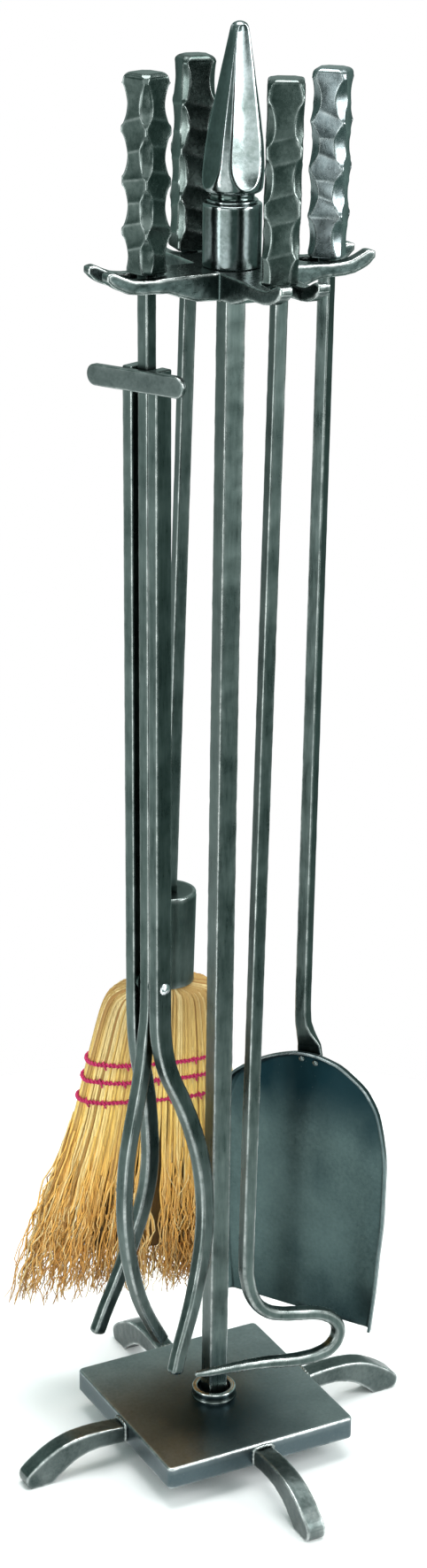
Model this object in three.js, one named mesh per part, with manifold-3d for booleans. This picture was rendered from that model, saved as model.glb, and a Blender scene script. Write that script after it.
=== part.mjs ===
// Fireplace tool set: a square base with four curved feet, a square post, a forked
// hanger, a leaf-point finial, and four hanging tools (log tongs, hearth brush,
// poker and shovel). Millimetres, +Z up. The origin is on the floor, on the post's
// axis. +X is the shovel's side, -X the tongs', -Y the poker's and +Y the brush's.
import * as THREE from 'three';
import { mergeVertices } from 'three/addons/utils/BufferGeometryUtils.js';
import Module from 'manifold-3d';

const wasm = await Module();
wasm.setup();

// ---------------------------------------------------------------- dimensions
const GAP = 0.3;                  // clearance between pieces that touch

const PLATE_SIDE = 134;           // square base plate
const PLATE_TOP = 30.6;           // height of its top face
const PLATE_T = 15.3;             // plate thickness
const PLATE_R = 3.5;                // corner radius in plan
const COLLAR_OD = 28.5, COLLAR_ID = 21.5, COLLAR_H = 6.2;

const FOOT_W = 12.7;              // foot bar width
const POST = 12.7;                // post side
const POST_TOP = 759.4;

const HUB_TOP = 776.8, HUB_BOTTOM = 759.8, HUB_HALF = 16;
const ARM_TIP = 86.4;             // reach of the fork tips from the post's axis
const SLOT_HALF = 8, SLOT_IN = 44;

const SOCKET_D = 34, SOCKET_TOP = 813.6;
const FINIAL_NECK_D = 26, FINIAL_BASE = 813.9, TIP_TOP = 914;

const BAR = 7.94;                 // square tool bar, 5/16 in
const HANDLE_LEN = { tongs: 111.5, brush: 112.4, poker: 113.2, shovel: 107.8 };   // grip lengths
const HANDLE_Z = 777.4;           // underside of every grip, on its fork
const HANDLE_HALF = 10.35;        // half side of the square grip
const TENON_R = 3.1, TENON_LEN = 24, BORE_R = 3.45, BORE_LEN = 27;

// where each tool's axis passes at grip height and 440 mm lower
const TONGS = { top: [-54.2, 0], low: [-49.0, 2.0], yaw: -71.4 };
const POKER = { top: [-0.6, -57.6], low: [-4.2, -52.4], yaw: 0 };
const BRUSH = { top: [0.2, 52.4], low: [0.2, 72.1], yaw: -12.4 };
const SHOVEL = { top: [63.2, 0.4], low: [60.4, 0.4], yaw: -59 };
const DROP = 440;

const LEVER_W = 12.6, LEVER_T = 7.6, LEVER_GAP = 10;   // tongs levers, centre to centre / 2
const PIVOT_Z = 336;
const RIVET_R = 2.35, RIVET_HOLE_R = 2.7;
const CROSS_LEN = 77, CROSS_W = 12.5, CROSS_T = 4.4, CROSS_Z = 716.6, CROSS_TILT = -3.4;

const FERRULE_D = 35, FERRULE_TOP = 363, FERRULE_BOTTOM = 299.4, FERRULE_WALL = 1.2;

const PAN_T = 2, PAN_WALL = 8;   // shovel pan sheet and raised rim

const rad = (a) => a * Math.PI / 180;

// ---------------------------------------------------------------- solids
function clean(geometry) {
  const g = geometry.index ? geometry.toNonIndexed() : geometry.clone();
  for (const name of Object.keys(g.attributes)) if (name !== 'position') g.deleteAttribute(name);
  return mergeVertices(g, 1e-4);
}
function toManifold(geometry) {
  const g = clean(geometry);
  return new wasm.Manifold(new wasm.Mesh({
    numProp: 3,
    vertProperties: new Float32Array(g.attributes.position.array),
    triVerts: new Uint32Array(g.index.array),
  }));
}
function fromManifold(m) {
  const mesh = m.getMesh();
  const g = new THREE.BufferGeometry();
  g.setAttribute('position', new THREE.BufferAttribute(new Float32Array(mesh.vertProperties), 3));
  g.setIndex(new THREE.BufferAttribute(new Uint32Array(mesh.triVerts), 1));
  return g;
}
const cut = (a, ...tools) => fromManifold(tools.reduce((m, t) => m.subtract(toManifold(t)), toManifold(a)));

// A closed skin through rings of equal point count, with flat caps.
function loft(rings) {
  const n = rings[0].length, pos = [], idx = [];
  for (const ring of rings) for (const p of ring) pos.push(p.x, p.y, p.z);
  for (let i = 0; i + 1 < rings.length; i++)
    for (let j = 0; j < n; j++) {
      const a = i * n + j, b = i * n + (j + 1) % n, c = a + n, d = b + n;
      idx.push(a, b, d, a, d, c);
    }
  const cap = (i, flip) => {
    const centre = new THREE.Vector3();
    for (const p of rings[i]) centre.addScaledVector(p, 1 / n);
    const k = pos.length / 3;
    pos.push(centre.x, centre.y, centre.z);
    for (let j = 0; j < n; j++) {
      const a = i * n + j, b = i * n + (j + 1) % n;
      flip ? idx.push(k, b, a) : idx.push(k, a, b);
    }
  };
  cap(0, true);
  cap(rings.length - 1, false);
  let volume = 0;
  const P = (i) => new THREE.Vector3(pos[3 * i], pos[3 * i + 1], pos[3 * i + 2]);
  for (let t = 0; t < idx.length; t += 3) volume += P(idx[t]).dot(P(idx[t + 1]).cross(P(idx[t + 2])));
  if (volume < 0) for (let t = 0; t < idx.length; t += 3) [idx[t + 1], idx[t + 2]] = [idx[t + 2], idx[t + 1]];
  const g = new THREE.BufferGeometry();
  g.setAttribute('position', new THREE.Float32BufferAttribute(pos, 3));
  g.setIndex(idx);
  return g;
}
// Square ring with cut corners: 8 points, half sides a and b, corner cut c.
function squareRing(a, b, c, place) {
  const pts = [[a, -b + c], [a, b - c], [a - c, b], [-a + c, b], [-a, b - c], [-a, -b + c], [-a + c, -b], [a - c, -b]];
  return pts.map(([x, y]) => place(x, y));
}
// Round ring with the same 8 points as a square ring.
function roundRing(r, place) {
  return [-22.5, 22.5, 67.5, 112.5, 157.5, 202.5, 247.5, 292.5].map((a) => place(r * Math.cos(rad(a)), r * Math.sin(rad(a))));
}
// Prism from a 2-D outline in the plane of u and v, between w0 and w1 along u x v.
function prism(outline, u, v, w0, w1, origin = new THREE.Vector3(), holes = []) {
  const shape = new THREE.Shape(outline.map(([x, y]) => new THREE.Vector2(x, y)));
  for (const hole of holes) shape.holes.push(new THREE.Path(hole.map(([x, y]) => new THREE.Vector2(x, y))));
  const g = new THREE.ExtrudeGeometry(shape, { depth: w1 - w0, bevelEnabled: false });
  const w = new THREE.Vector3().crossVectors(u, v);
  const m = new THREE.Matrix4().makeBasis(u, v, w).setPosition(origin.clone().addScaledVector(w, w0));
  return g.applyMatrix4(m);
}
const X = new THREE.Vector3(1, 0, 0), Y = new THREE.Vector3(0, 1, 0), Z = new THREE.Vector3(0, 0, 1);
const V = (x, y, z) => new THREE.Vector3(x, y, z);
const circle = (r, n, cx = 0, cy = 0) => Array.from({ length: n }, (_, i) =>
  [cx + r * Math.cos(2 * Math.PI * (i + 0.5) / n), cy + r * Math.sin(2 * Math.PI * (i + 0.5) / n)]);
// Cylinder between two points.
function rod(p, q, r, n = 12) {
  const axis = q.clone().sub(p), len = axis.length();
  const g = new THREE.CylinderGeometry(r, r, len, n);
  g.applyQuaternion(new THREE.Quaternion().setFromUnitVectors(Y, axis.normalize()));
  return g.translate((p.x + q.x) / 2, (p.y + q.y) / 2, (p.z + q.z) / 2);
}
// Ring or disc turned about Z from a closed half profile of [r, z] points.
const turned = (profile, n = 32) => new THREE.LatheGeometry(profile.map(([r, z]) => new THREE.Vector2(r, z)), n).applyMatrix4(
  new THREE.Matrix4().makeBasis(X, Z, V(0, -1, 0)));

// ---------------------------------------------------------------- materials
const material = (color, roughness, metalness) => new THREE.MeshStandardMaterial({ color, roughness, metalness });
const iron = material(0x555d5c, 0.42, 0.85);
const plateIron = material(0x6a716f, 0.5, 0.8);
const polished = material(0x77807f, 0.3, 0.9);
const steel = material(0xc8ccd0, 0.2, 1.0);
const panIron = material(0x4d5855, 0.5, 0.8);
const copper = material(0xa05a32, 0.4, 0.9);
const straw = material(0xd9b56a, 0.9, 0.0);
const thread = material(0xb01858, 0.8, 0.0);

const set = new THREE.Group();
function add(name, geometry, mat, parent = set) {
  const g = geometry.index ? geometry.toNonIndexed() : geometry;
  g.computeVertexNormals();
  const mesh = new THREE.Mesh(g, mat);
  mesh.name = name;
  parent.add(mesh);
  return mesh;
}

// ---------------------------------------------------------------- base
function roundedSquare(half, r, steps) {
  const out = [];
  for (const [sx, sy, a0] of [[1, -1, -90], [1, 1, 0], [-1, 1, 90], [-1, -1, 180]])
    for (let i = 0; i <= steps; i++) {
      const a = rad(a0 + 90 * i / steps);
      out.push([sx * (half - r) + r * Math.cos(a), sy * (half - r) + r * Math.sin(a)]);
    }
  return out;
}
{
  const half = PLATE_SIDE / 2, z0 = PLATE_TOP - PLATE_T;
  const ring = (h, z) => roundedSquare(h, PLATE_R, 4).map(([x, y]) => V(x, y, z));
  const body = loft([ring(half - 0.8, z0), ring(half, z0 + 0.8), ring(half, PLATE_TOP - 0.8), ring(half - 0.8, PLATE_TOP)]);
  add('base_plate', cut(body, rod(V(0, 0, z0 - 1), V(0, 0, PLATE_TOP + 1), 3.4, 16)), plateIron);
}
{
  const ro = COLLAR_OD / 2, ri = COLLAR_ID / 2, z0 = PLATE_TOP + GAP, z1 = z0 + COLLAR_H;
  add('base_collar', turned([[ri, z0], [ro, z0], [ro, z1 - 1], [ro - 0.8, z1], [ri + 0.6, z1], [ri, z1 - 0.8], [ri, z0]], 32), polished);
}
{
  const z0 = PLATE_TOP + GAP, h = POST / 2;
  const ring = (hh, z) => squareRing(hh, hh, 0.7, (x, y) => V(x, y, z));
  const bar = loft([ring(h, z0), ring(h, POST_TOP)]);
  add('post', cut(bar, rod(V(0, 0, z0 - 5), V(0, 0, z0 + 34), 3.1, 16), rod(V(0, 0, POST_TOP - 34), V(0, 0, POST_TOP + 5), 3.1, 16)), iron);
}
{
  // Hexagon bolt from under the plate into the post, with its washer.
  const z = PLATE_TOP - PLATE_T;
  const hex = Array.from({ length: 6 }, (_, i) => [5.77 * Math.cos(rad(60 * i)), 5.77 * Math.sin(rad(60 * i))]);
  const head = prism(hex, X, Y, z - 5.9, z - 1.9);
  const shank = rod(V(0, 0, z - 4), V(0, 0, PLATE_TOP + 28), 2.8, 12);
  add('base_bolt', fromManifold(toManifold(head).add(toManifold(shank))), steel);
  add('base_washer', turned([[3.2, z - 1.6], [8.5, z - 1.6], [8.5, z - 0.3], [3.2, z - 0.3], [3.2, z - 1.6]], 24), steel);
}
// Side profile of a foot, in distance from the post's axis and height.
const FOOT = [[67.3, 15.9], [79.3, 16.8], [88.8, 16.6], [98.3, 14.6], [105.9, 11], [112.5, 6.2], [118.2, 1.2], [119.5, 0], [134.8, 0],
  [136.8, 1.6], [137.9, 5], [137.4, 9], [132.9, 13.6], [124.8, 19.4], [115.4, 24.4], [104.9, 27.6], [92.6, 28.9], [79.3, 28.6], [67.3, 27.4]];
for (const [name, a] of [['foot_right', 0], ['foot_back', 90], ['foot_left', 180], ['foot_front', 270]]) {
  const u = V(Math.cos(rad(a)), Math.sin(rad(a)), 0);
  add(name, prism(FOOT, u, Z, -FOOT_W / 2, FOOT_W / 2), iron);
}

// ---------------------------------------------------------------- hanger
{
  const h = HUB_HALF - GAP / 2;
  const ring = (hh, z) => squareRing(hh, hh, 1, (x, y) => V(x, y, z));
  const body = loft([ring(h - 3, HUB_BOTTOM), ring(h, HUB_BOTTOM + 3), ring(h, HUB_TOP - 0.6), ring(h - 0.6, HUB_TOP)]);
  add('hanger_hub', cut(body, rod(V(0, 0, HUB_BOTTOM - 5), V(0, 0, HUB_TOP + 5), 3.4, 16)), iron);
}
// Side profile of a fork arm: deep at the hub, thin at the prongs, tips curled up.
const ARM = [[HUB_HALF + GAP / 2, 761.2], [30, 761.6], [40, 764.6], [49, 767.8], [57, 768.2], [65, 768.3], [73, 769.4], [80, 772.2], [85.2, 775.6],
  [ARM_TIP, 779], [85.4, 781.8], [82, 782.2], [76, 779.4], [70, 777], [63, 776.2], [56, 776.1], [48, 776.6], [38, 776.8], [HUB_HALF + GAP / 2, 776.8]];
for (const [name, a] of [['fork_right', 0], ['fork_back', 90], ['fork_left', 180], ['fork_front', 270]]) {
  const u = V(Math.cos(rad(a)), Math.sin(rad(a)), 0), v = V(-Math.sin(rad(a)), Math.cos(rad(a)), 0);
  const body = prism(ARM, u, Z, -HUB_HALF, HUB_HALF);
  const slot = [[100, -SLOT_HALF], [100, SLOT_HALF], [SLOT_IN + 8, SLOT_HALF], [SLOT_IN + 4, 6.9], [SLOT_IN + 1.1, 4], [SLOT_IN, 0],
    [SLOT_IN + 1.1, -4], [SLOT_IN + 4, -6.9], [SLOT_IN + 8, -SLOT_HALF]];
  add(name, cut(body, prism(slot, u, v, 740, 800)), iron);
}
{
  const r = SOCKET_D / 2, z0 = HUB_TOP + GAP;
  add('finial_socket', turned([[3.4, z0], [r - 1, z0], [r, z0 + 1], [r, SOCKET_TOP - 1], [r - 1, SOCKET_TOP], [3.4, SOCKET_TOP], [3.4, z0]], 32), polished);
}
{
  // Leaf point: four hollowed faces between four ridges, on a short round neck.
  const N = 16;
  const ring = (z, ridge, face) => Array.from({ length: N }, (_, i) => {
    const a = 2 * Math.PI * i / N, k = Math.abs(Math.cos(2 * a));   // 1 on a face, 0 on a ridge
    const r = ridge + (face - ridge) * k;
    const lean = Math.max(0, z - 820) * 0.0277;   // the point was drawn out slightly off its axis
    return V(0.88 * lean + r * Math.cos(a), -0.4755 * lean + r * Math.sin(a), z);
  });
  const body = [ring(FINIAL_BASE, 11.5, 11.5), ring(819.4, 11.5, 11.5), ring(820.6, 15.5, 13.4), ring(826, 17.3, 14), ring(834, 17.7, 13.5), ring(844, 17.1, 12.8),
    ring(856, 15.4, 11.7), ring(870, 12.9, 10.2), ring(884, 10.2, 8.4), ring(898, 7.3, 6.3), ring(907, 5.4, 4.9), ring(911.8, 4, 3.8), ring(TIP_TOP, 1.8, 1.8)];
  add('finial', cut(loft(body), rod(V(0, 0, FINIAL_BASE - 5), V(0, 0, FINIAL_BASE + 24), 3.1, 16)), polished);
  add('finial_stud', rod(V(0, 0, POST_TOP - 32), V(0, 0, FINIAL_BASE + 22), 2.8, 12), steel);
}

// ---------------------------------------------------------------- tools
// A frame that follows a tool's leaning axis: at height z its origin is on the axis.
function frameOf(tool) {
  const c = Math.cos(rad(tool.yaw)), s = Math.sin(rad(tool.yaw));
  const d = V(c, s, 0), n = V(-s, c, 0);
  const axis = (z) => {
    const t = (775 - z) / DROP;
    return V(tool.top[0] + (tool.low[0] - tool.top[0]) * t, tool.top[1] + (tool.low[1] - tool.top[1]) * t, z);
  };
  // at(a, b, z): a along d and b along n from the axis
  return { d, n, axis, at: (a, b, z) => axis(z).addScaledVector(d, a).addScaledVector(n, b) };
}
// Grip: hammered square bar with a blind bore, lofted from the bore's end outwards.
function grip(tool, yaw, length) {
  const F = frameOf({ ...tool, yaw });
  const z0 = HANDLE_Z, rings = [];
  const sq = (h, c, z) => squareRing(h, h, c, (x, y) => F.at(x, y, z));
  const rd = (r, z) => roundRing(r, (x, y) => F.at(x, y, z));
  rings.push(rd(BORE_R, z0 + BORE_LEN), rd(BORE_R, z0), sq(HANDLE_HALF - 2, 3, z0), sq(HANDLE_HALF - 0.6, 2.6, z0 + 2.5));
  for (let i = 0; i <= 8; i++) {
    const z = z0 + 8 + (length - 18) * i / 8;
    rings.push(sq(HANDLE_HALF - (i % 2 ? 0 : 0.9), i % 2 ? 3.2 : 2.4, z));
  }
  rings.push(sq(HANDLE_HALF - 0.7, 3, z0 + length - 5), sq(HANDLE_HALF - 3, 3, z0 + length - 0.8), sq(HANDLE_HALF - 6, 2, z0 + length));
  return loft(rings);
}
// Upper end of a tool's bar: a round tenon that enters the grip, then the square bar.
function barTop(F, half) {
  const rd = (r, z) => roundRing(r, (x, y) => F.at(x, y, z));
  const sq = (z) => squareRing(half, half, 1.1, (x, y) => F.at(x, y, z));
  return [rd(TENON_R, HANDLE_Z + TENON_LEN), rd(TENON_R, HANDLE_Z - 0.4), sq(HANDLE_Z - 0.7)];
}
// Ring of a flat or square bar whose centre line runs in the plane of n and z.
function barRing(F, s, b, z, slope, halfT, halfW, c) {
  // slope is db/dz; the section is square to the centre line
  const len = Math.hypot(1, slope);
  return squareRing(halfT, halfW, c, (x, y) => F.at(s + x, b + y / len, z - y * slope / len));
}
function barAlong(F, path, halfT, halfW, c) {
  // path rows: z, b (along n), s (along d)
  return path.map(([z, b, s = 0], i) => {
    const p = path[Math.max(0, i - 1)], q = path[Math.min(path.length - 1, i + 1)];
    return barRing(F, s, b, z, (q[1] - p[1]) / (q[0] - p[0]), halfT, halfW, c);
  });
}
const groups = {};
for (const name of ['tongs', 'brush', 'poker', 'shovel']) { groups[name] = new THREE.Group(); set.add(groups[name]); }

// Tongs. n points in towards the post, so outward offsets are negative.
{
  const F = frameOf(TONGS), G = groups.tongs;
  add('tongs_handle', grip(TONGS, TONGS.yaw, HANDLE_LEN.tongs), iron, G);
  const claw = [[360, 0], [320, -0.4], [300, -2.6], [280, -5.6], [260, -10], [240, -15.2], [220, -19.6], [200, -21.6], [180, -21.9], [160, -20], [140, -16.2],
    [124, -11.8], [110, -6.6], [98, -0.8], [88, 4.7], [80.6, 9]];
  const claws = [[360, 0, 10], [320, 0, 10], [305, 0.3, 10.1], [290, 2, 10.8], [275, 5.4, 12.4], [258, 11.8, 15.6], [240, 17.4, 18.8], [220, 22, 21.6], [200, 24.6, 23.6],
    [180, 24.8, 25.6], [160, 22, 28], [140, 16, 30.4], [120, 8.4, 32.6], [102, 0, 34.3], [90, -6, 35.4], [80.6, -9.8, 36.3]];
  const axle = (a) => F.at(a, 0, PIVOT_Z);
  const hole = rod(axle(-30), axle(30), RIVET_HOLE_R, 16);
  const tip = (rings, F2, z, b, s, halfT, halfW, slope) => {
    rings.push(barRing(F2, s, b, z, slope, halfT * 0.78, halfW * 0.72, 1.2));
    return rings;
  };
  const shaft = [...barTop(F, BAR / 2), ...barAlong(F, claw, BAR / 2, BAR / 2, 1.1)];
  tip(shaft, F, 78.2, 10.4, 0, BAR / 2, BAR / 2, -0.6);
  add('tongs_shaft', cut(loft(shaft), hole), iron, G);
  for (const [name, sign] of [['tongs_left_lever', -1], ['tongs_right_lever', 1]]) {
    // the right claw's point is set in a little closer than the left one's
    const inward = (z) => sign > 0 ? 2.9 * Math.min(1, Math.max(0, (210 - z) / 130)) : 0;
    const path = [[722.5, 0, 10], ...claws].map(([z, b, s]) => [z, b, (s - inward(z)) * sign]);
    const rings = barAlong(F, path, LEVER_T / 2, LEVER_W / 2, 1);
    tip(rings, F, 77.6, -11.4, (36.6 - inward(77.6)) * sign, LEVER_T / 2, LEVER_W / 2, 0.5);
    add(name, cut(loft(rings), hole), iron, G);
  }
  // Crossbar: flat strip with round ends, on the levers' outer edges.
  const R = CROSS_W / 2, half = CROSS_LEN / 2 - R, outline = [];
  for (let i = 0; i <= 10; i++) outline.push([half + R * Math.sin(rad(18 * i)), -R * Math.cos(rad(18 * i))]);
  for (let i = 0; i <= 10; i++) outline.push([-half - R * Math.sin(rad(18 * i)), R * Math.cos(rad(18 * i))]);
  const t = rad(CROSS_TILT), u = F.d.clone().multiplyScalar(Math.cos(t)).addScaledVector(Z, -Math.sin(t)).normalize();
  const out = F.n.clone().negate(), v = new THREE.Vector3().crossVectors(out, u);
  const face = F.at(0, -LEVER_W / 2 - GAP, CROSS_Z);
  add('tongs_crossbar', prism(outline, u, v, 0, CROSS_T, face), polished, G);
  // Rivet through both levers and the shaft, and a washer on each side of the shaft.
  const q = LEVER_GAP + LEVER_T / 2;
  const headL = rod(F.at(-q - 2.4, 0, PIVOT_Z), F.at(-q - GAP, 0, PIVOT_Z), 4.2, 16);
  const headR = rod(F.at(q + GAP, 0, PIVOT_Z), F.at(q + 2.4, 0, PIVOT_Z), 4.2, 16);
  const pin = rod(F.at(-q - 2, 0, PIVOT_Z), F.at(q + 2, 0, PIVOT_Z), RIVET_R, 12);
  add('tongs_pivot_rivet', fromManifold(toManifold(pin).add(toManifold(headL)).add(toManifold(headR))), steel, G);
  for (const [name, s] of [['tongs_washer_left', -1], ['tongs_washer_right', 1]]) {
    const a = (BAR / 2 + GAP) * s, b = (LEVER_GAP - LEVER_T / 2 - GAP) * s;
    add(name, cut(rod(F.at(a, 0, PIVOT_Z), F.at(b, 0, PIVOT_Z), 5.2, 16), hole), steel, G);
  }
}

// Brush: bar, tin ferrule, straw fan and three rows of stitching.
{
  const F = frameOf(BRUSH), G = groups.brush;
  add('brush_handle', grip(BRUSH, -10, HANDLE_LEN.brush), iron, G);
  add('brush_shaft', loft([...barTop(F, BAR / 2), squareRing(BAR / 2, BAR / 2, 1.1, (x, y) => F.at(x, y, FERRULE_TOP + GAP))]), iron, G);
  const ringAt = (r, z, n = 24) => Array.from({ length: n }, (_, i) => F.at(r * Math.cos(2 * Math.PI * i / n), r * Math.sin(2 * Math.PI * i / n), z));
  const ro = FERRULE_D / 2, ri = ro - FERRULE_WALL;
  const can = loft([ringAt(ri, FERRULE_TOP - 1.4), ringAt(ri, FERRULE_BOTTOM), ringAt(ro, FERRULE_BOTTOM), ringAt(ro, FERRULE_TOP - 1.2), ringAt(ro - 1.2, FERRULE_TOP)]);
  // nail in the side that faces out between the tongs and the post
  const na = rad(-113), nz = 329, radial = (r) => F.at(r * Math.cos(na), r * Math.sin(na), nz);
  add('brush_ferrule', cut(can, rod(radial(10), radial(25), 1.1, 10)), iron, G);
  add('brush_ferrule_nail', fromManifold(toManifold(rod(radial(ri - 0.4), radial(ro + 0.8), 0.8, 10)).add(toManifold(rod(radial(ro + GAP), radial(ro + 1.2), 1.9, 12)))), copper, G);
  // [z, left half width, right half width, half thickness]
  const fan = [[352, 15.4, 15.4, 15.4], [296.5, 15.2, 15.2, 15.2], [296.1, 24, 22, 16.4], [295, 31, 28, 17.6], [293, 36, 32, 18.2], [288, 39.5, 35, 18.5], [280, 42.5, 37, 18.6],
    [268, 45.5, 39.5, 18.4], [244, 51, 44, 17.8], [220, 56, 47, 17.2], [204, 59.5, 49.5, 16.8], [180, 66, 52.5, 16.4], [157, 73, 54.5, 16],
    [119, 84, 57.5, 15.4], [84, 94, 61, 14.8], [70, 96.5, 62, 14.4], [66, 95, 60, 13]];
  const fanRing = (z, l, r, b, n = 24) => Array.from({ length: n }, (_, i) => {
    const a = 2 * Math.PI * i / n, c = Math.cos(a), s = Math.sin(a);
    return F.at((c < 0 ? l : r) * c, b * s, z);
  });
  add('brush_bristles', loft(fan.map((f) => fanRing(...f))), straw, G);
  // [left, right, thickness] of the fan at a height
  const widthAt = (z) => {
    let i = 0;
    while (fan[i + 1][0] > z) i++;
    const t = (fan[i][0] - z) / (fan[i][0] - fan[i + 1][0]);
    return [1, 2, 3].map((k) => fan[i][k] + (fan[i + 1][k] - fan[i][k]) * t);
  };
  for (const [name, z] of [['brush_stitch_upper', 246.5], ['brush_stitch_middle', 234], ['brush_stitch_lower', 219.5]]) {
    const [l, r, b] = widthAt(z), n = 32, tube = 1.1, m = 6;
    // a closed hoop: inner wall up, over and down, as rings around the fan
    const at = (k) => fanRing(z + tube * Math.sin(2 * Math.PI * k / m), l + 1.9 + tube * Math.cos(2 * Math.PI * k / m), r + 1.9 + tube * Math.cos(2 * Math.PI * k / m),
      b + 1.9 + tube * Math.cos(2 * Math.PI * k / m), n);
    const rows = Array.from({ length: m }, (_, k) => at(k)), pos = [], idx = [];
    for (const row of rows) for (const p of row) pos.push(p.x, p.y, p.z);
    for (let k = 0; k < m; k++) for (let j = 0; j < n; j++) {
      const a = k * n + j, b2 = k * n + (j + 1) % n, c = ((k + 1) % m) * n + j, d2 = ((k + 1) % m) * n + (j + 1) % n;
      idx.push(a, b2, d2, a, d2, c);
    }
    const g = new THREE.BufferGeometry();
    g.setAttribute('position', new THREE.Float32BufferAttribute(pos, 3));
    g.setIndex(idx);
    add(name, g, thread, G);
  }
}

// Poker: one bar whose end runs out to the right, turns back and ends in a point.
{
  const F = frameOf(POKER), G = groups.poker;
  add('poker_handle', grip(POKER, -28.4, HANDLE_LEN.poker), iron, G);
  // x along d from the bar's axis, z, half section
  const hook = [[0, 300, 3.97], [0, 200, 3.97], [0.3, 160, 3.97], [1.4, 146, 3.9], [4.6, 132, 3.9], [10.4, 121.4, 3.9], [19, 114.4, 3.8], [29, 110.6, 3.8], [41, 107.8, 3.8],
    [52, 105.2, 3.8], [60, 101.6, 3.8], [66.4, 96.2, 3.8], [69.6, 89.4, 3.8], [68.6, 82, 3.85], [63.4, 76.4, 3.8], [55, 73.8, 3.75], [44, 73.6, 3.7], [31, 75.4, 3.6],
    [17, 78.1, 3.4], [2, 80.1, 3.1], [-13, 81.3, 2.7], [-25, 82.3, 2.2], [-34, 83.3, 1.4]];
  const rings = barTop(F, BAR / 2), base = F.axis(110);
  hook.forEach(([x, z, h], i) => {
    const p = hook[Math.max(0, i - 1)], q = hook[Math.min(hook.length - 1, i + 1)];
    const t = new THREE.Vector2(q[0] - p[0], q[1] - p[1]).normalize();
    const c = z > 150 ? F.axis(z) : base.clone().setZ(z);
    // side is the in-plane normal, turned so that it continues the bar's own x
    rings.push(squareRing(h, h, h * 0.28, (a, b) => c.clone().addScaledVector(F.d, x - a * t.y).addScaledVector(Z, a * t.x).addScaledVector(F.n, b)));
  });
  add('poker_shaft', loft(rings), iron, G);
}

// Shovel: bar with a flattened end, riveted behind the back of a shallow pan.
{
  const F = frameOf(SHOVEL), G = groups.shovel;
  add('shovel_handle', grip(SHOVEL, -43.4, HANDLE_LEN.shovel), iron, G);
  // in the pan's frame: a along its width, b towards its hollow side (-n), z up
  const at = (a, b, z) => F.at(a, -b, z);
  const rings = [...barTop(F, BAR / 2)];
  // the tongue: height, half width, back and front faces, and its shift along the pan
  for (const [z, w, t0, t1, s] of [[302, 3.97, -3.97, 3.97, 0], [286, 4.2, -3.97, 3.6, 0.6], [278, 6.2, -3.9, 1.2, 2.4], [271, 8.4, -3.8, -1, 4.4], [264, 8.9, -3.7, -1, 5.1],
    [254, 8.9, -3.6, -1, 5.2], [250, 7, -3.6, -1, 5.2]])
    rings.push(squareRing(w, (t1 - t0) / 2, Math.min(1.1, (t1 - t0) * 0.3), (x, y) => at(s + x, (t0 + t1) / 2 - y, z)));
  const r1 = [1, 262.2], r2 = [11.1, 261.4];
  const hole = ([a, z]) => rod(at(a, -8, z), at(a, 8, z), 1.75, 12);
  add('shovel_shaft', cut(loft(rings), hole(r1), hole(r2)), iron, G);
  // outline of the pan's back, from the open end's right corner round to its left corner
  const outline = [[59.8, 82], [62.7, 111], [64.4, 135.5], [66.6, 162], [67, 184.5], [67, 203.5], [65.1, 219], [60.6, 238], [55.2, 248.2],
    [48.4, 256.2], [34.5, 265.1], [25.9, 268.1], [15.3, 269.8], [6.5, 269.8], [-3.2, 268.2], [-16.1, 263.6], [-28, 257.3], [-43.5, 246.2],
    [-50.4, 237.7], [-55.5, 222], [-57.8, 203], [-58, 184], [-57.2, 162], [-55.4, 135.5], [-53.7, 111], [-51, 80]];
  // the rim's inner line, one sheet thickness in, running out past the open end
  const innerOutline = outline.map(([a, z], i) => {
    if (i === 0) return [a - 2.1, z - 12];
    if (i === outline.length - 1) return [a + 2.1, z - 12];
    const [pa, pz] = outline[i - 1], [qa, qz] = outline[i + 1], len = Math.hypot(qa - pa, qz - pz);
    return [a - 2.1 * (qz - pz) / len, z + 2.1 * (qa - pa) / len];
  });
  const b0 = -0.6, P = F.axis(253), out = F.n.clone().negate();
  const u = F.d, v = Z, w = new THREE.Vector3().crossVectors(u, v);
  const sgn = Math.sign(w.dot(out));
  const slab = (o, lo, hi) => sgn > 0 ? prism(o, u, v, lo, hi, V(P.x, P.y, 0)) : prism(o, u, v, -hi, -lo, V(P.x, P.y, 0));
  const pan = cut(slab(outline, b0, b0 + PAN_WALL), slab(innerOutline, b0 + PAN_T, b0 + PAN_WALL + 5), hole(r1), hole(r2));
  add('shovel_pan', pan, panIron, G);
  for (const [name, [a, z]] of [['shovel_rivet_left', r1], ['shovel_rivet_right', r2]]) {
    const pin = rod(at(a, -4.6, z), at(a, 2.4, z), 1.45, 10);
    const front = rod(at(a, b0 + PAN_T + GAP, z), at(a, b0 + PAN_T + 1.5, z), 2.3, 12);
    const back = rod(at(a, -5.2, z), at(a, -3.6 - GAP, z), 3, 12);
    add(name, fromManifold(toManifold(pin).add(toManifold(front)).add(toManifold(back))), steel, G);
  }
}

export default set;
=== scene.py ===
# Fireplace tool set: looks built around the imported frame. Work is in millimetres and is scaled to metres
# when a mesh is made. +Z up, origin on the floor under the post.
import math
import random

import bmesh
import bpy
import numpy as np
from mathutils import Matrix, Vector, noise


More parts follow.
